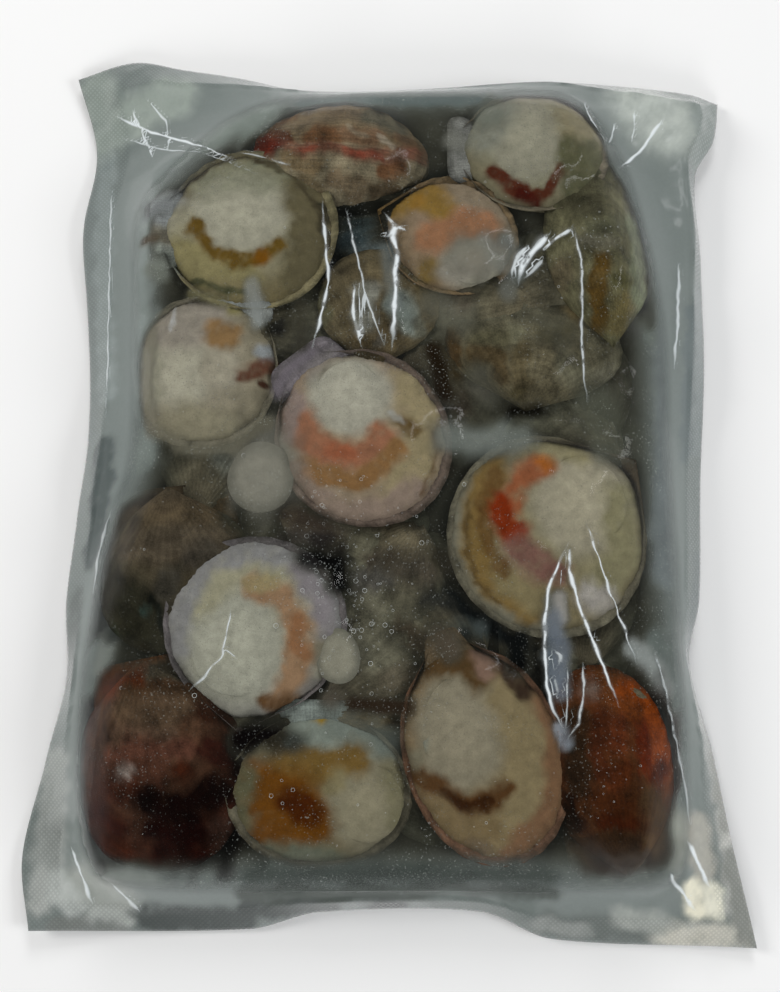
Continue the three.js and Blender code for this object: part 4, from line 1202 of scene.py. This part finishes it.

# Creases: the line of a crease, its half width and how strongly it shows, in its painted highlight
# and its bump.
CREASES = [
    # between the shells of the middle top
    ([(-1.6, 93), (2.6, 88), (0.8, 84.5), (3.3, 78), (2.4, 70), (2.3, 63), (1.2, 43)], 1.9, 1.0),
    ([(6, 86), (2.6, 88)], 0.9, 0.8), ([(-2, 84), (0.8, 84.5)], 0.8, 0.7),
    ([(-15.5, 95), (-7.2, 59.5), (-1.2, 43)], 0.8, 0.8),
    ([(-23.6, 96), (-21.2, 67), (-26.6, 43)], 1.2, 0.95),
    ([(-12, 66), (-12.5, 56), (-9.5, 43)], 1.3, 0.95), ([(-8, 67), (-9.5, 55), (-9, 43)], 0.8, 0.8),
    ([(-53.5, 116), (-44, 113), (-35, 109.6)], 0.8, 0.6),
    # over the ears at the upper right
    ([(57, 85), (51.5, 78.5), (47.5, 73), (46, 68)], 2.8, 1.0), ([(65, 86), (61, 84), (55, 79)], 1.2, 0.9),
    ([(49, 81), (45, 75), (43.5, 69)], 1.8, 0.85), ([(55, 76), (51, 71), (48, 69)], 1.5, 0.75),
    ([(65.4, 87), (67.6, 75), (67.7, 63), (67.5, 41), (69, 24)], 0.9, 0.8),
    # down the right of the middle
    ([(60.6, -25.7), (57, -33), (53.5, -41), (52.6, -50), (52.4, -58), (52.6, -65), (52.8, -74),
      (55, -82), (58.5, -89)], 1.3, 1.0),
    ([(60.8, -25.7), (60.8, -35), (63, -45), (66, -52), (70, -62), (73.5, -71), (76.5, -79.5)], 1.3, 1.0),
    ([(66.5, -19), (70.5, -31), (75, -44), (80, -56), (83, -66)], 0.8, 0.9),
    ([(65.4, -66), (65, -76), (63, -86), (59, -90.5)], 0.9, 0.8),
    ([(60.5, -67), (59.5, -79), (58.4, -88)], 0.7, 0.7),
    ([(56, -62), (57.5, -63.5), (57, -66)], 2.0, 0.75), ([(55.5, -71), (56.5, -76)], 1.2, 0.55),
    ([(-52.6, -48), (-54, -58), (-55, -63.6), (-65.6, -75)], 0.8, 0.8),
    ([(-50.5, -64), (-54.5, -61)], 0.7, 0.7),
    # along the sides and in the corners
    ([(-97, -14), (-101, -28), (-102.5, -42)], 0.8, 0.5),
    ([(-104.5, 111), (-102.8, 87), (-102.4, 52), (-101.9, 22)], 0.5, 0.55),
    ([(106, 78), (104.5, 58), (101.7, 38)], 0.9, 0.6),
    ([(89, -60), (93, -75), (95.8, -91), (99, -106), (101, -119)], 0.9, 0.6),
    ([(-104, 140), (-80, 128), (-52, 110)], 0.7, 0.9), ([(-98, 143), (-88, 120)], 0.6, 0.8),
    ([(-102, 132), (-70, 118), (-46, 106)], 0.5, 0.6), ([(-92, 146), (-84, 136), (-82, 122)], 0.5, 0.7),
    ([(72, 139), (74, 130), (80, 121)], 0.7, 0.8), ([(84, 131), (80, 121)], 0.6, 0.7),
    ([(102, 134), (92, 120), (84, 112)], 0.9, 0.9), ([(92, 137), (90, 124)], 0.5, 0.6),
    ([(100, -125), (108, -140)], 1.2, 0.9), ([(92, -134), (103, -148)], 1.0, 0.8),
    ([(-108, -128), (-100, -146)], 0.9, 0.8), ([(-92, -138), (-84, -150)], 0.9, 0.6),
]


def signed_distance(x, y, line):
    """Distance from a line through points, under 0 on its left, and the share along the line."""
    line = np.array(line, dtype=float)
    lengths = np.hypot(*np.diff(line, axis=0).T)
    best, side, along, done = np.full(x.shape, np.inf), np.ones(x.shape), np.zeros(x.shape), 0
    for (x0, y0), (x1, y1), length in zip(line, line[1:], lengths):
        reach = ((x - x0) * (x1 - x0) + (y - y0) * (y1 - y0)) / length ** 2
        share = np.clip(reach, 0, 1)
        away = np.hypot(x - x0 - share * (x1 - x0), y - y0 - share * (y1 - y0))
        turn = (x - x0) * (y1 - y0) - (y - y0) * (x1 - x0)
        nearer = away < best
        side = np.where(nearer, np.where(turn < 0, -1.0, 1.0), side)
        along = np.where(nearer, (done + share * length) / lengths.sum(), along)
        best = np.minimum(best, away)
        done += length
    return best * side, along


across_crease = np.full(film_z.shape, 4.0)
crease_light = np.zeros(film_z.shape)
bent_x = film_x + 0.35 * wobble(film_x, film_y, 9, 76) + 0.12 * wobble(film_x, film_y, 3.5, 77)
bent_y = film_y + 0.35 * wobble(film_x, film_y, 9, 79)
swelling = 0.85 + 0.4 * wobble(film_x, film_y, 7, 78)
for line, half_width, light in CREASES:
    away, along = signed_distance(bent_x, bent_y, line)
    taper = soft_step(0, 0.12, along) * (1 - soft_step(0.8, 1.0, along))
    away = away / (half_width * (0.4 + 0.6 * taper) * swelling)
    nearer = np.abs(away) < np.abs(across_crease)
    across_crease = np.where(nearer, away, across_crease)
    fading = 1 - soft_step(1.7, 2.8, np.abs(away))
    crease_light = np.where(nearer, light * fading * (0.35 + 0.65 * taper), crease_light)
    film_z += 0.35 * half_width * np.exp(-(away / 1.4) ** 2) * taper
across_crease = np.clip(across_crease, -4, 4)
off_weld = soft_step(0.9, 1.6, film_share)
film_z += off_weld * 0.05 * wobble(film_x, film_y, 7, 71)
outside = (1 - soft_step(0, 10, film_depth)) * soft_step(0.0, 0.4, film_share)
corner = soft_step(70, 105, np.abs(film_x)) * soft_step(100, 140, np.abs(film_y))
film_z += outside * corner * (0.7 * wobble(film_x, film_y, 12, 73) + 0.25 * wobble(film_x, film_y, 5, 74))

# The back film: flat where the pouch lies, and curling up to the weld.
back_x, back_y, back_share, back_middle = border_at(u[::2, ::2], v[::2, ::2])
back_depth = depth_in_body(back_x, back_y)
back_round = quarter_round(back_depth, BASE_ROUNDING)
back_limit = np.where(back_depth > 0, BODY_MIDDLE * (1 - back_round), NOWHERE)
back_limit = np.minimum(back_limit, back_middle - FILM_THICKNESS)
back_z = -drape(-back_limit, back_share <= 0, step * 2, COARSE_PASSES)
back_z = np.minimum(back_z, film_z[::2, ::2] - FILM_THICKNESS)

# Haze over the film: its colour and how much there is. The film is clear but for its weld, and
# a little cloudy in the empty corners. Along the bottom weld the colour is painted shade, and in
# the lower right corner it is painted light, the lit table showing through the film.
weld = 1 - soft_step(0.97, 1.05, film_share)
tint = 0 * film_x[..., None] + linear(118, 127, 124)
tint, _ = paint(film_x, film_y, tint, [
    ([(-111.5, 115.2), (-110, 60.1), (-109, 10.8)], 3.1, (116, 125, 123)),
    ([(-107.3, 123.3), (-105.1, 67.8), (-102.1, 29.5)], 3.4, (140, 150, 148), 0.7),
    ([(-101, 10.1), (-102.1, -14.9), (-104.4, -29.4)], 3.4, (72, 82, 81)),
    ([(-110.3, -43.7), (-112.6, -71.9)], 3.1, (94, 102, 99)),
    ([(-114.2, -99.5), (-118.1, -133.1)], 4.8, (156, 161, 157)),
    ([(-118.1, -139.7), (-119.5, -146.3)], 4.1, (168, 172, 168)),
    ([(-92.8, -145.6), (-102.7, -139.7)], 6.9, (156, 161, 155)),
    ([(-112.3, -154.5), (-91.8, -155.4)], 3.1, (118, 123, 119)),
    # Painted shade: darker along the bottom weld.
    ([(-81.6, -151.9), (-49.1, -152.5)], 4.5, (60, 68, 66)),
    ([(-45.8, -147.9), (-20.1, -147.3)], 3.8, (56, 64, 62)), ([(-1.2, -147.6)], 5.2, (48, 56, 54)),
    ([(-33.8, -145), (-20.1, -144.3)], 3.1, (60, 68, 66)),
    ([(-47.6, -141.7), (3.9, -141), (53.8, -141.7)], 3.1, (66, 74, 69)),
    ([(17.6, -146.3), (45, -148.3)], 4.1, (98, 108, 104)),
    ([(53.5, -153.5), (89.3, -156.1)], 4.5, (96, 104, 100)),
    # Painted light: the pale strokes of the lower right corner, where the lit table shows through.
    ([(102.3, -140.4), (104, -148.3)], 3.4, (240, 236, 214), 0.9),
    ([(109.1, -141.7), (110.5, -148.3)], 3.1, (236, 234, 216), 0.85),
    ([(95.4, -157.7), (108, -158.7), (120, -156.7)], 4.5, (200, 198, 186), 0.85),
    ([(116.8, -146.3), (116.8, -131.4), (114, -116.4)], 2.8, (196, 196, 190), 0.8),
    ([(112.9, -109.7), (111, -90.9), (109.1, -78.9)], 2.1, (176, 178, 174), 0.7),
    ([(103.8, -119.8), (106, -133.8)], 4.1, (172, 170, 160), 0.85),
    ([(-112.9, -141.4), (-107.5, -146.3)], 4.1, (182, 187, 183), 0.8),
    ([(-98.8, -150.2), (-90.2, -151.2)], 3.1, (170, 175, 170), 0.8),
    ([(79.2, -151.2), (91.1, -153.5)], 3.8, (160, 165, 159), 0.8),
    ([(51.8, -154.1), (65.4, -155.4)], 3.1, (140, 145, 141), 0.8),
    ([(117.7, -133.1), (121.8, -156.1)], 4.1, (138, 141, 135)),
    ([(114.5, -99.5), (115.6, -119.8)], 3.1, (150, 152, 146)),
    ([(110.8, -29.4), (106.8, -64.9)], 2.8, (112, 121, 120)),
    ([(114.7, 67.8), (110.7, 10.8)], 2.8, (126, 135, 134)),
    ([(109.9, 60.1), (106.2, 7.1)], 2.1, (108, 118, 118)),
    ([(-111.1, 151.1), (-106.5, 131.4)], 6.2, (148, 158, 151)),
    ([(-95.3, 140.4), (-80.1, 145.7)], 6.9, (152, 162, 154)),
    ([(103.7, 132.2), (94.8, 141.2)], 11, (186, 193, 186), 0.75),
    ([(119.4, 142.8), (118.4, 119.2)], 4.8, (138, 147, 143)),
    ([(-53.4, 151.9), (19.7, 151.9), (65.9, 152.7)], 3.1, (96, 107, 105))])
empty = (1 - soft_step(-1, 8, film_depth)) * (1 - weld)
alpha = 0.004 + 0.002 * wobble(film_x, film_y, 30, 75)
alpha = alpha * (1 - weld - empty) + 0.95 * weld + 0.88 * empty

film_bm = bmesh.new()
haze_layer = film_bm.verts.layers.float_color.new("Haze")
crease_layer = film_bm.verts.layers.float_vector.new("Crease")


def film_sheet(across, along, places, haze, crease):
    verts = bmesh.ops.create_grid(film_bm, x_segments=across, y_segments=along, size=1)["verts"]
    rows = zip(verts, places.reshape(-1, 3), haze.reshape(-1, 4), crease.reshape(-1, 3))
    for vert, place, cloud, fold in rows:
        vert.co = place
        vert[haze_layer] = cloud
        vert[crease_layer] = fold
    return verts


front = film_sheet(
    CELLS_ACROSS, CELLS_ALONG, np.stack([film_x, film_y, film_z], axis=-1),
    np.concatenate([tint, alpha[..., None]], axis=-1),
    np.stack([across_crease, crease_light, weld], axis=-1))
back_weld = 1 - soft_step(0.97, 1.05, back_share)
back_grey = [0 * back_x + level for level in (0.33, 0.36, 0.35)]
back_haze = np.stack([*back_grey, 0.04 + 0.7 * back_weld], axis=-1)
back = film_sheet(
    CELLS_ACROSS // 2, CELLS_ALONG // 2, np.stack([back_x, back_y, back_z], axis=-1), back_haze,
    np.stack([0 * back_x + 4, 0 * back_x, back_weld], axis=-1))
bmesh.ops.reverse_faces(film_bm, faces=list({face for vert in back for face in vert.link_faces}))


def rim_loop(verts, across, along):
    """The vertices round a sheet's edge, anticlockwise from the bottom left corner."""
    row = across + 1
    spots = [*range(across), *(j * row + across for j in range(along)),
             *(along * row + i for i in range(across, 0, -1)), *(j * row for j in range(along, 0, -1))]
    return [verts[k] for k in spots]


upper = rim_loop(front, CELLS_ACROSS, CELLS_ALONG)
lower = rim_loop(back, CELLS_ACROSS // 2, CELLS_ALONG // 2)
for k, low in enumerate(lower):
    next_low = lower[(k + 1) % len(lower)]
    first, middle, last = upper[2 * k], upper[2 * k + 1], upper[(2 * k + 2) % len(upper)]
    film_bm.faces.new((first, low, middle))
    film_bm.faces.new((low, next_low, middle))
    film_bm.faces.new((middle, next_low, last))
film_bm.normal_update()

film_material, graph = material_graph("pouch_film")
haze = graph.add("ShaderNodeAttribute", attribute_name="Haze")
folds = graph.add("ShaderNodeAttribute", attribute_name="Crease").outputs["Vector"]
folds = graph.add("ShaderNodeSeparateXYZ", {0: folds}).outputs
where = graph.add("ShaderNodeTexCoord").outputs["Object"]
away = graph.value("ABSOLUTE", folds[0])
# Painted highlights: each crease's crest is painted bluish white, partly the whitening of stretched film
# and mostly standing in for the glints of light along it, with a broken, nearly opaque core.
shape = graph.between(away, 1.15, 0.15, "SMOOTHSTEP")
broken = graph.between(graph.noise(where, 260.0, 3.0), 0.3, 0.48, "SMOOTHSTEP")
crest = graph.value("MULTIPLY", shape, folds[1])
painted_glint = graph.between(away, 0.75, 0.1, "SMOOTHSTEP")
painted_glint = graph.value("MULTIPLY", graph.value("MULTIPLY", painted_glint, folds[1]), broken)
hatch = []
for turn in (45, -45):
    turned = graph.add("ShaderNodeMapping", {"Vector": where, "Rotation": (0, 0, math.radians(turn))})
    wires = {"Vector": turned.outputs[0], "Scale": 260.0}
    hatch.append(graph.add("ShaderNodeTexWave", wires, wave_type="BANDS").outputs["Fac"])
press = graph.value("MULTIPLY", graph.value("MAXIMUM", *hatch), folds[2])
ripples = graph.noise(where, 300.0, 2.0)
level = graph.value("ADD", graph.value("MULTIPLY", press, 0.4), graph.value("MULTIPLY", ripples, 0.12))
level = graph.value("ADD", level, graph.value("MULTIPLY", crest, 1.6))
bump = graph.add("ShaderNodeBump", {"Height": level, "Strength": 0.5, "Distance": 0.0004}).outputs[0]
speck = graph.scaled(graph.value("SUBTRACT", graph.noise(where, 900.0, 3.0), 0.5), 0.12, 1.0)
amount = graph.value("MULTIPLY", haze.outputs["Alpha"], speck)
amount = graph.value("ADD", amount, graph.value("MULTIPLY", crest, 0.22))
amount = graph.value("MAXIMUM", amount, graph.value("MULTIPLY", painted_glint, 0.95))
amount = graph.add("ShaderNodeClamp", {"Value": amount}).outputs[0]
shade = graph.brighten(haze.outputs["Color"], graph.scaled(press, -0.25, 1.12))
colour = graph.blend(crest, shade, (0.86, 0.92, 0.95))
clear = graph.see_through()
milky = graph.add(
    "ShaderNodeBsdfPrincipled", {"Base Color": colour, "Roughness": 0.5, "Normal": bump}
).outputs[0]
body = graph.add("ShaderNodeMixShader", {0: amount, 1: clear, 2: milky}).outputs[0]
gloss = graph.add(
    "ShaderNodeBsdfAnisotropic", {"Color": (1, 1, 1, 1), "Roughness": 0.09, "Normal": bump}
).outputs[0]
facing = graph.add("ShaderNodeLayerWeight", {"Blend": 0.5, "Normal": bump}).outputs["Facing"]
mirror = graph.scaled(graph.value("POWER", facing, 5.0), 0.9, 0.034)
shown = graph.add("ShaderNodeMixShader", {0: mirror, 1: body, 2: gloss})
finish_graph(graph, shown.outputs[0])
film = object_from(film_bm, "pouch_film", film_material)
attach(film, "root")
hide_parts("vacuum_pouch")


# ---------------------------------------------------------------------------------------------
# Ice
# The cloudy glaze that fills the bag between the film and the shells. It is thicker, and greyer,
# where the shells lie deep, and clear in a few pockets. Its haze is painted darker in the middle and
# near black in some deep gaps, as shade.

ICE_COLUMNS = 151
ICE_ROWS = 191
x, y = body_grid(ICE_COLUMNS, ICE_ROWS)
skin_z = ray_heights([film], x, y, BODY_MIDDLE)
round_top = quarter_round(depth_in_body(x, y), 1.5)
top_z = BODY_MIDDLE + (np.maximum(skin_z - 0.35, BODY_MIDDLE) - BODY_MIDDLE) * round_top
low_z = BODY_MIDDLE - (BODY_MIDDLE - 0.5) * quarter_round(depth_in_body(x, y), BASE_ROUNDING)
seen = ray_heights([opened, closed, below, flesh, muscles, shade_bed], x, y, 0)
inward = depth_in_body(x, y)
gap = soften(np.clip(skin_z - seen - 1.3, 0, 16), 22)
veil = 1 - np.exp(-gap / 20)
# Painted shade: less haze beside the opened shells' rims, so the dark below shows through.
veil *= 1 - 0.55 * crevice(x, y, OPEN_SHELLS.values())
cloudy = 0.006 + 0.004 * wobble(x, y, 20, 92)
veil = veil + (1 - veil) * cloudy
# Painted shade: the haze is a dark olive grey away from the outline, as light reaches less deep in.
tint = 0 * x[..., None] + linear(84, 84, 72)
margin = 0.85 * (1 - soft_step(5, 19, inward)) * soft_step(0.3, 5, gap)
veil = veil + (1 - veil) * margin
tint = tint * (1 - margin[..., None]) + linear(112, 121, 118) * margin[..., None]
# Cloudy and clear places: line, half width, colour of the ice and how much of it shows.
MARGINS = [
    ([(-85.6, 123.7), (-65.9, 127.5), (-49.9, 132.5)], 9.7, (129, 139, 132), 0.85),
    ([(-91.9, 100.2), (-91.1, 59.5), (-89.1, 23.7)], 6.9, (140, 150, 146), 0.9),
    ([(-85, 5.4), (-90.5, 16.6)], 6.2, (120, 129, 124), 0.85),
    ([(-95.6, -2.9)], 4.8, (74, 85, 83), 0.85),
    ([(-101.5, -41.7), (-103.9, -77.9)], 3.4, (112, 121, 117), 0.8),
    ([(100, 48.7), (97.7, 6.1), (94, -35)], 5.5, (108, 116, 116), 0.88),
    ([(92.8, 77.8), (92.7, 48.7)], 3.4, (106, 114, 107), 0.8),
    ([(-31.9, 137.2), (18.5, 137.2), (32.9, 137.5)], 3.1, (92, 103, 101), 0.9),
    ([(83.9, 129.8)], 4.8, (138, 146, 139), 0.8),
    ([(95.6, 126.8), (90.1, 121)], 4.8, (186, 193, 186), 0.85),
    # Painted shade: darker along the bottom.
    ([(-44.6, -136.2), (3.7, -135.6), (50.4, -136.2)], 5.9, (60, 68, 63), 0.9),
    ([(-91.6, -137.4), (-79.9, -140.2)], 6.6, (142, 149, 143), 0.88),
    # Painted light: paler in the lower right corner, where the lit table shows through.
    ([(97.8, -119.4), (100.5, -131.8)], 6.2, (160, 163, 152), 0.85),
    ([(68.1, -138.9), (84.2, -136.5)], 4.5, (98, 106, 100), 0.88),
    ([(90.4, -58.3), (95.3, -68.1)], 4.8, (100, 108, 104), 0.85),
    ([(82.3, -60.9), (88.5, -66.2), (93.1, -75.3)], 3.8, (146, 152, 149), 0.85),
    ([(-94.7, -58.3), (-97, -67.5)], 3.4, (122, 128, 122), 0.8),
]
CLOUDS = [
    # the hazy places between the shells
    ([(19.7, 11), (31.3, 9.6), (45.1, 10.7)], 6.6, (128, 135, 128), 0.55),
    ([(27.9, 9.6), (38.2, 10.7)], 3.4, (140, 147, 140), 0.6),
    ([(28.7, 77.1)], 7.6, (138, 136, 124), 0.55), ([(5.4, 55.9)], 4.8, (122, 131, 124), 0.5),
    ([(-43.1, -6.3), (-41.9, 6.1)], 11.7, (136, 135, 123), 0.42),
    ([(72.8, 23), (76.6, 9.6)], 9, (92, 95, 82), 0.55), ([(59.7, 48.7)], 7.6, (86, 86, 74), 0.3),
    ([(37.2, 130.6)], 7.6, (118, 124, 112), 0.4),
    ([(31.6, 32.9), (34.3, 26.5)], 4.8, (84, 84, 74), 0.5),
    ([(-1.1, -90.8), (-16, -86)], 6.2, (118, 126, 118), 0.3),
    ([(42.1, 83), (46.1, 70.5)], 4.1, (118, 126, 122), 0.55),
    ([(34.4, 81.5), (39.9, 73.4)], 4.5, (134, 136, 128), 0.45),
    # Painted sheen: the pale and bluish strokes along the creases in this and the next five lines stand in
    # for the light that the creased film throws back.
    ([(54.3, -63.2), (58, -74.7)], 3.4, (128, 142, 152), 0.5),
    ([(53.7, -45), (54.1, -58.3)], 2.1, (104, 116, 120), 0.45),
    ([(56.4, -87), (58.9, -92.1)], 2.8, (170, 180, 190), 0.5),
    ([(-0.2, 79.7), (2.6, 59.5)], 3.4, (140, 150, 148), 0.3),
    ([(57.4, -44.3), (58, -51)], 3.1, (150, 148, 142), 0.85),
    ([(54.6, -51), (58.4, -61.6), (56.7, -74.7)], 3.8, (122, 132, 144), 0.6),
    ([(-85.3, 95.7), (-79.7, 96.4)], 4.1, (136, 141, 141), 0.45),
    ([(-84.5, 72.7), (-80.3, 71.2)], 3.8, (134, 140, 130), 0.6),
    ([(23.8, 120.2)], 4.8, (122, 123, 114), 0.6),
    ([(-38.8, 27.9), (-34.1, 35.7), (-26.6, 41.5)], 2.8, (112, 106, 112), 0.5),
    ([(-47.8, 64.6), (-45.9, 53.7)], 3.8, (148, 153, 149), 0.55),
    ([(15.8, -56.3), (20.5, -60.9)], 4.8, (82, 74, 62), 0.8),
    ([(-69.5, 63.2), (-58.2, 59.5)], 2.1, (122, 118, 88), 0.5),
    ([(-83, 47.9), (-85.2, 30.8), (-81.9, 14.9), (-69.3, 7.2), (-53.6, 7.5),
      (-42.8, 16.6)], 2.8, (126, 123, 106), 0.5),
    ([(-16.8, -63.6)], 8.3, (128, 126, 112), 0.3), ([(-19.3, -77.9)], 3.8, (92, 86, 75), 0.55),
    ([(30.1, 75.6)], 4.8, (138, 134, 120), 0.55), ([(41.8, 64.6)], 4.5, (110, 112, 104), 0.6),
    ([(14.5, 59.5), (24.9, 53)], 6.2, (112, 112, 98), 0.4),
    ([(-27.2, 33.6), (-20.3, 40.7)], 2.8, (140, 136, 130), 0.3),
    # the brown shade deep down
    ([(15.1, 43.3), (19.8, 26.5)], 4.5, (26, 16, 5), 0.7),
    ([(-34.1, -16.3), (-18.1, -23.1)], 5.2, (66, 58, 50), 0.5),
    ([(2.2, -31.6), (17.3, -33.3)], 6.2, (64, 57, 45), 0.5),
    ([(-12, -79.2), (6.4, -80.5)], 3.4, (48, 38, 28), 0.6),
    ([(-31, 59.5), (-30.8, 43.3)], 2.8, (60, 58, 48), 0.5),
    ([(-25.2, -24.1), (-16.4, -26.2)], 3.4, (30, 27, 25), 0.6),
    # the clear ones; those near black at a higher amount are painted shade in the deep gaps
    ([(-5.5, -49), (3.8, -61.6), (12.6, -37)], 10.3, (84, 82, 70), 0.12),
    ([(-28.1, -30.9), (-17, -32.3), (-17, -40)], 4.5, (6, 6, 6), 0.75),
    ([(-48.8, -91.5), (-42.9, -89.2), (-32.3, -91.8)], 5.2, (10, 6, 6), 0.6),
    ([(-15.4, 90.8), (-13.6, 77.8)], 7.6, (30, 34, 32), 0.12),
    ([(44.4, -58.9), (43.6, -66.5)], 4.5, (6, 7, 7), 0.6),
    ([(43.5, 20.8), (51.4, 20.8)], 3.4, (16, 14, 8), 0.6), ([(-38.1, 49)], 3.8, (30, 30, 28), 0.3),
    ([(17.3, -41.7), (27.2, -49), (43.8, -59.9)], 3.8, (22, 26, 26), 0.3),
    ([(-87.7, 83.8), (-83.5, 83.8)], 2.1, (84, 72, 54), 0.7), ([(30.5, -54)], 3.1, (70, 77, 75), 0.6),
    ([(-87.9, -97.2), (-74.4, -109.9), (-59.6, -117.8)], 15.9, (30, 14, 8), 0.03),
    ([(-97.6, -84.4), (-100.8, -103.6), (-95.9, -125.6)], 9, (40, 18, 10), 0.03),
    ([(-97.8, -31.6), (-99, -51.7)], 6.9, (44, 42, 32), 0.05),
    ([(89.4, -84.4), (91.3, -103.6)], 6.2, (70, 30, 10), 0.04),
    ([(88.9, 89), (87.9, 59.5)], 7.6, (84, 84, 62), 0.05), ([(-75.4, -79.9)], 7.6, (84, 70, 54), 0.1),
    ([(82.7, -87.6), (75.4, -109.9)], 15.2, (60, 30, 10), 0.03),
    ([(74.8, -128.7)], 6.2, (60, 48, 38), 0.12), ([(-91.5, -74)], 6.2, (64, 34, 14), 0.04),
    ([(-87.2, -46.7)], 11.7, (44, 42, 32), 0.05), ([(-75.6, -21.4)], 8.3, (74, 66, 54), 0.08),
    ([(66.1, 96.4), (73.9, 59.5)], 11.7, (80, 78, 58), 0.05),
]
for clouds, depth in ((MARGINS, soft_step(0.3, 5, gap)), (CLOUDS, 1)):
    for line, half_width, colour, amount in clouds:
        away = line_distance(x, y, line) / half_width * (1 + 0.25 * wobble(x, y, 9, 93))
        mask = (1 - soft_step(0.3, 1.45, away)) * depth
        veil = veil * (1 - mask) + amount * mask
        tint = tint * (1 - mask[..., None]) + linear(*colour) * mask[..., None]
veil = np.clip(veil * (1 + 0.12 * wobble(x, y, 14, 91)), 0, 1)
ice_bm = bmesh.new()
ice_layer = ice_bm.verts.layers.float_color.new("Haze")
for sheet, amount in ((top_z, veil), (low_z, 0.75 + 0 * veil)):
    made = bmesh.ops.create_grid(
        ice_bm, x_segments=ICE_COLUMNS - 1, y_segments=ICE_ROWS - 1, size=1)["verts"]
    for vert, px, py, pz, colour, share in zip(
            made, x.ravel(), y.ravel(), sheet.ravel(), tint.reshape(-1, 3), amount.ravel()):
        vert.co = (px, py, pz)
        vert[ice_layer] = (*colour, share)
bmesh.ops.remove_doubles(ice_bm, verts=ice_bm.verts, dist=MERGE_DISTANCE)
bmesh.ops.recalc_face_normals(ice_bm, faces=ice_bm.faces)
ice_material, graph = material_graph("cloudy_ice")
haze = graph.add("ShaderNodeAttribute", attribute_name="Haze")
where = graph.add("ShaderNodeTexCoord").outputs["Object"]
cloud = graph.scaled(graph.value("SUBTRACT", graph.noise(where, 160.0, 5.0), 0.5), 0.6, 1.0)
amount = graph.value("MULTIPLY", haze.outputs["Alpha"], cloud)
# White specks: frost, partly painted glints that stand in for sparkles of light on it.
grit = graph.between(graph.noise(where, 1500.0, 1.0), 0.64, 0.71)
patches = graph.between(graph.noise(where, 45.0, 3.0), 0.42, 0.62)
frost_and_glints = graph.value("MULTIPLY", grit, graph.scaled(patches, 0.36, 0.08))
amount = graph.add("ShaderNodeClamp", {"Value": graph.value("MAXIMUM", amount, frost_and_glints)}).outputs[0]
clear = graph.see_through()
colour = graph.blend(frost_and_glints, haze.outputs["Color"], (0.62, 0.66, 0.62))
milky = graph.add("ShaderNodeBsdfDiffuse", {"Color": colour}).outputs[0]
shown = graph.add("ShaderNodeMixShader", {0: amount, 1: clear, 2: milky})
finish_graph(graph, shown.outputs[0])
ice_piece = object_from(ice_bm, "glaze_ice", ice_material)
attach(ice_piece, "root")


# ---------------------------------------------------------------------------------------------
# Bubbles
# Small round bubbles of air, shut in just under the film when the glaze froze. Most of them are
# in the middle of the pouch.

bubble_bm = bmesh.new()
spots = []
# How many bubbles a swarm has, its middle, and how far it spreads across and along.
SWARMS = [
    (360, -10, -38, 20, 36), (26, -60, -10, 38, 60), (46, 40, 60, 46, 60),
    (40, 10, -118, 80, 22), (24, 76, -104, 12, 9), (26, 76, 84, 8, 12),
]
for count, cx, cy, wide, tall in SWARMS:
    spots += [(RNG.normal(cx, wide / 1.6), RNG.normal(cy, tall / 1.6)) for _ in range(count)]
spots = np.array([spot for spot in spots if abs(spot[0]) < 92 and abs(spot[1]) < 132])
levels = ray_heights([film], spots[:, 0], spots[:, 1], 20)
for (px, py), level in zip(spots, levels):
    radius = 0.2 + 0.7 * RNG.random() ** 8
    made = bmesh.ops.create_icosphere(bubble_bm, subdivisions=2, radius=radius)["verts"]
    bmesh.ops.translate(bubble_bm, vec=(px, py, level - radius - 0.1), verts=made)
bubble_material, graph = material_graph("air_bubble")
# Painted highlight: each bubble turns pale and opaque towards its edge, for the light its rim catches.
facing = graph.add("ShaderNodeLayerWeight", {"Blend": 0.35}).outputs["Facing"]
rim = graph.add(
    "ShaderNodeMapRange", {"Value": facing, "From Min": 0.2, "From Max": 0.6, "To Max": 0.95}
).outputs[0]
clear = graph.see_through()
rim_highlight = graph.add(
    "ShaderNodeBsdfPrincipled", {"Base Color": (0.8, 0.84, 0.82, 1), "Roughness": 0.25}
).outputs[0]
shown = graph.add("ShaderNodeMixShader", {0: rim, 1: clear, 2: rim_highlight})
finish_graph(graph, shown.outputs[0])
bubbles = object_from(bubble_bm, "air_bubbles", bubble_material)
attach(bubbles, "root")

low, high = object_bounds()
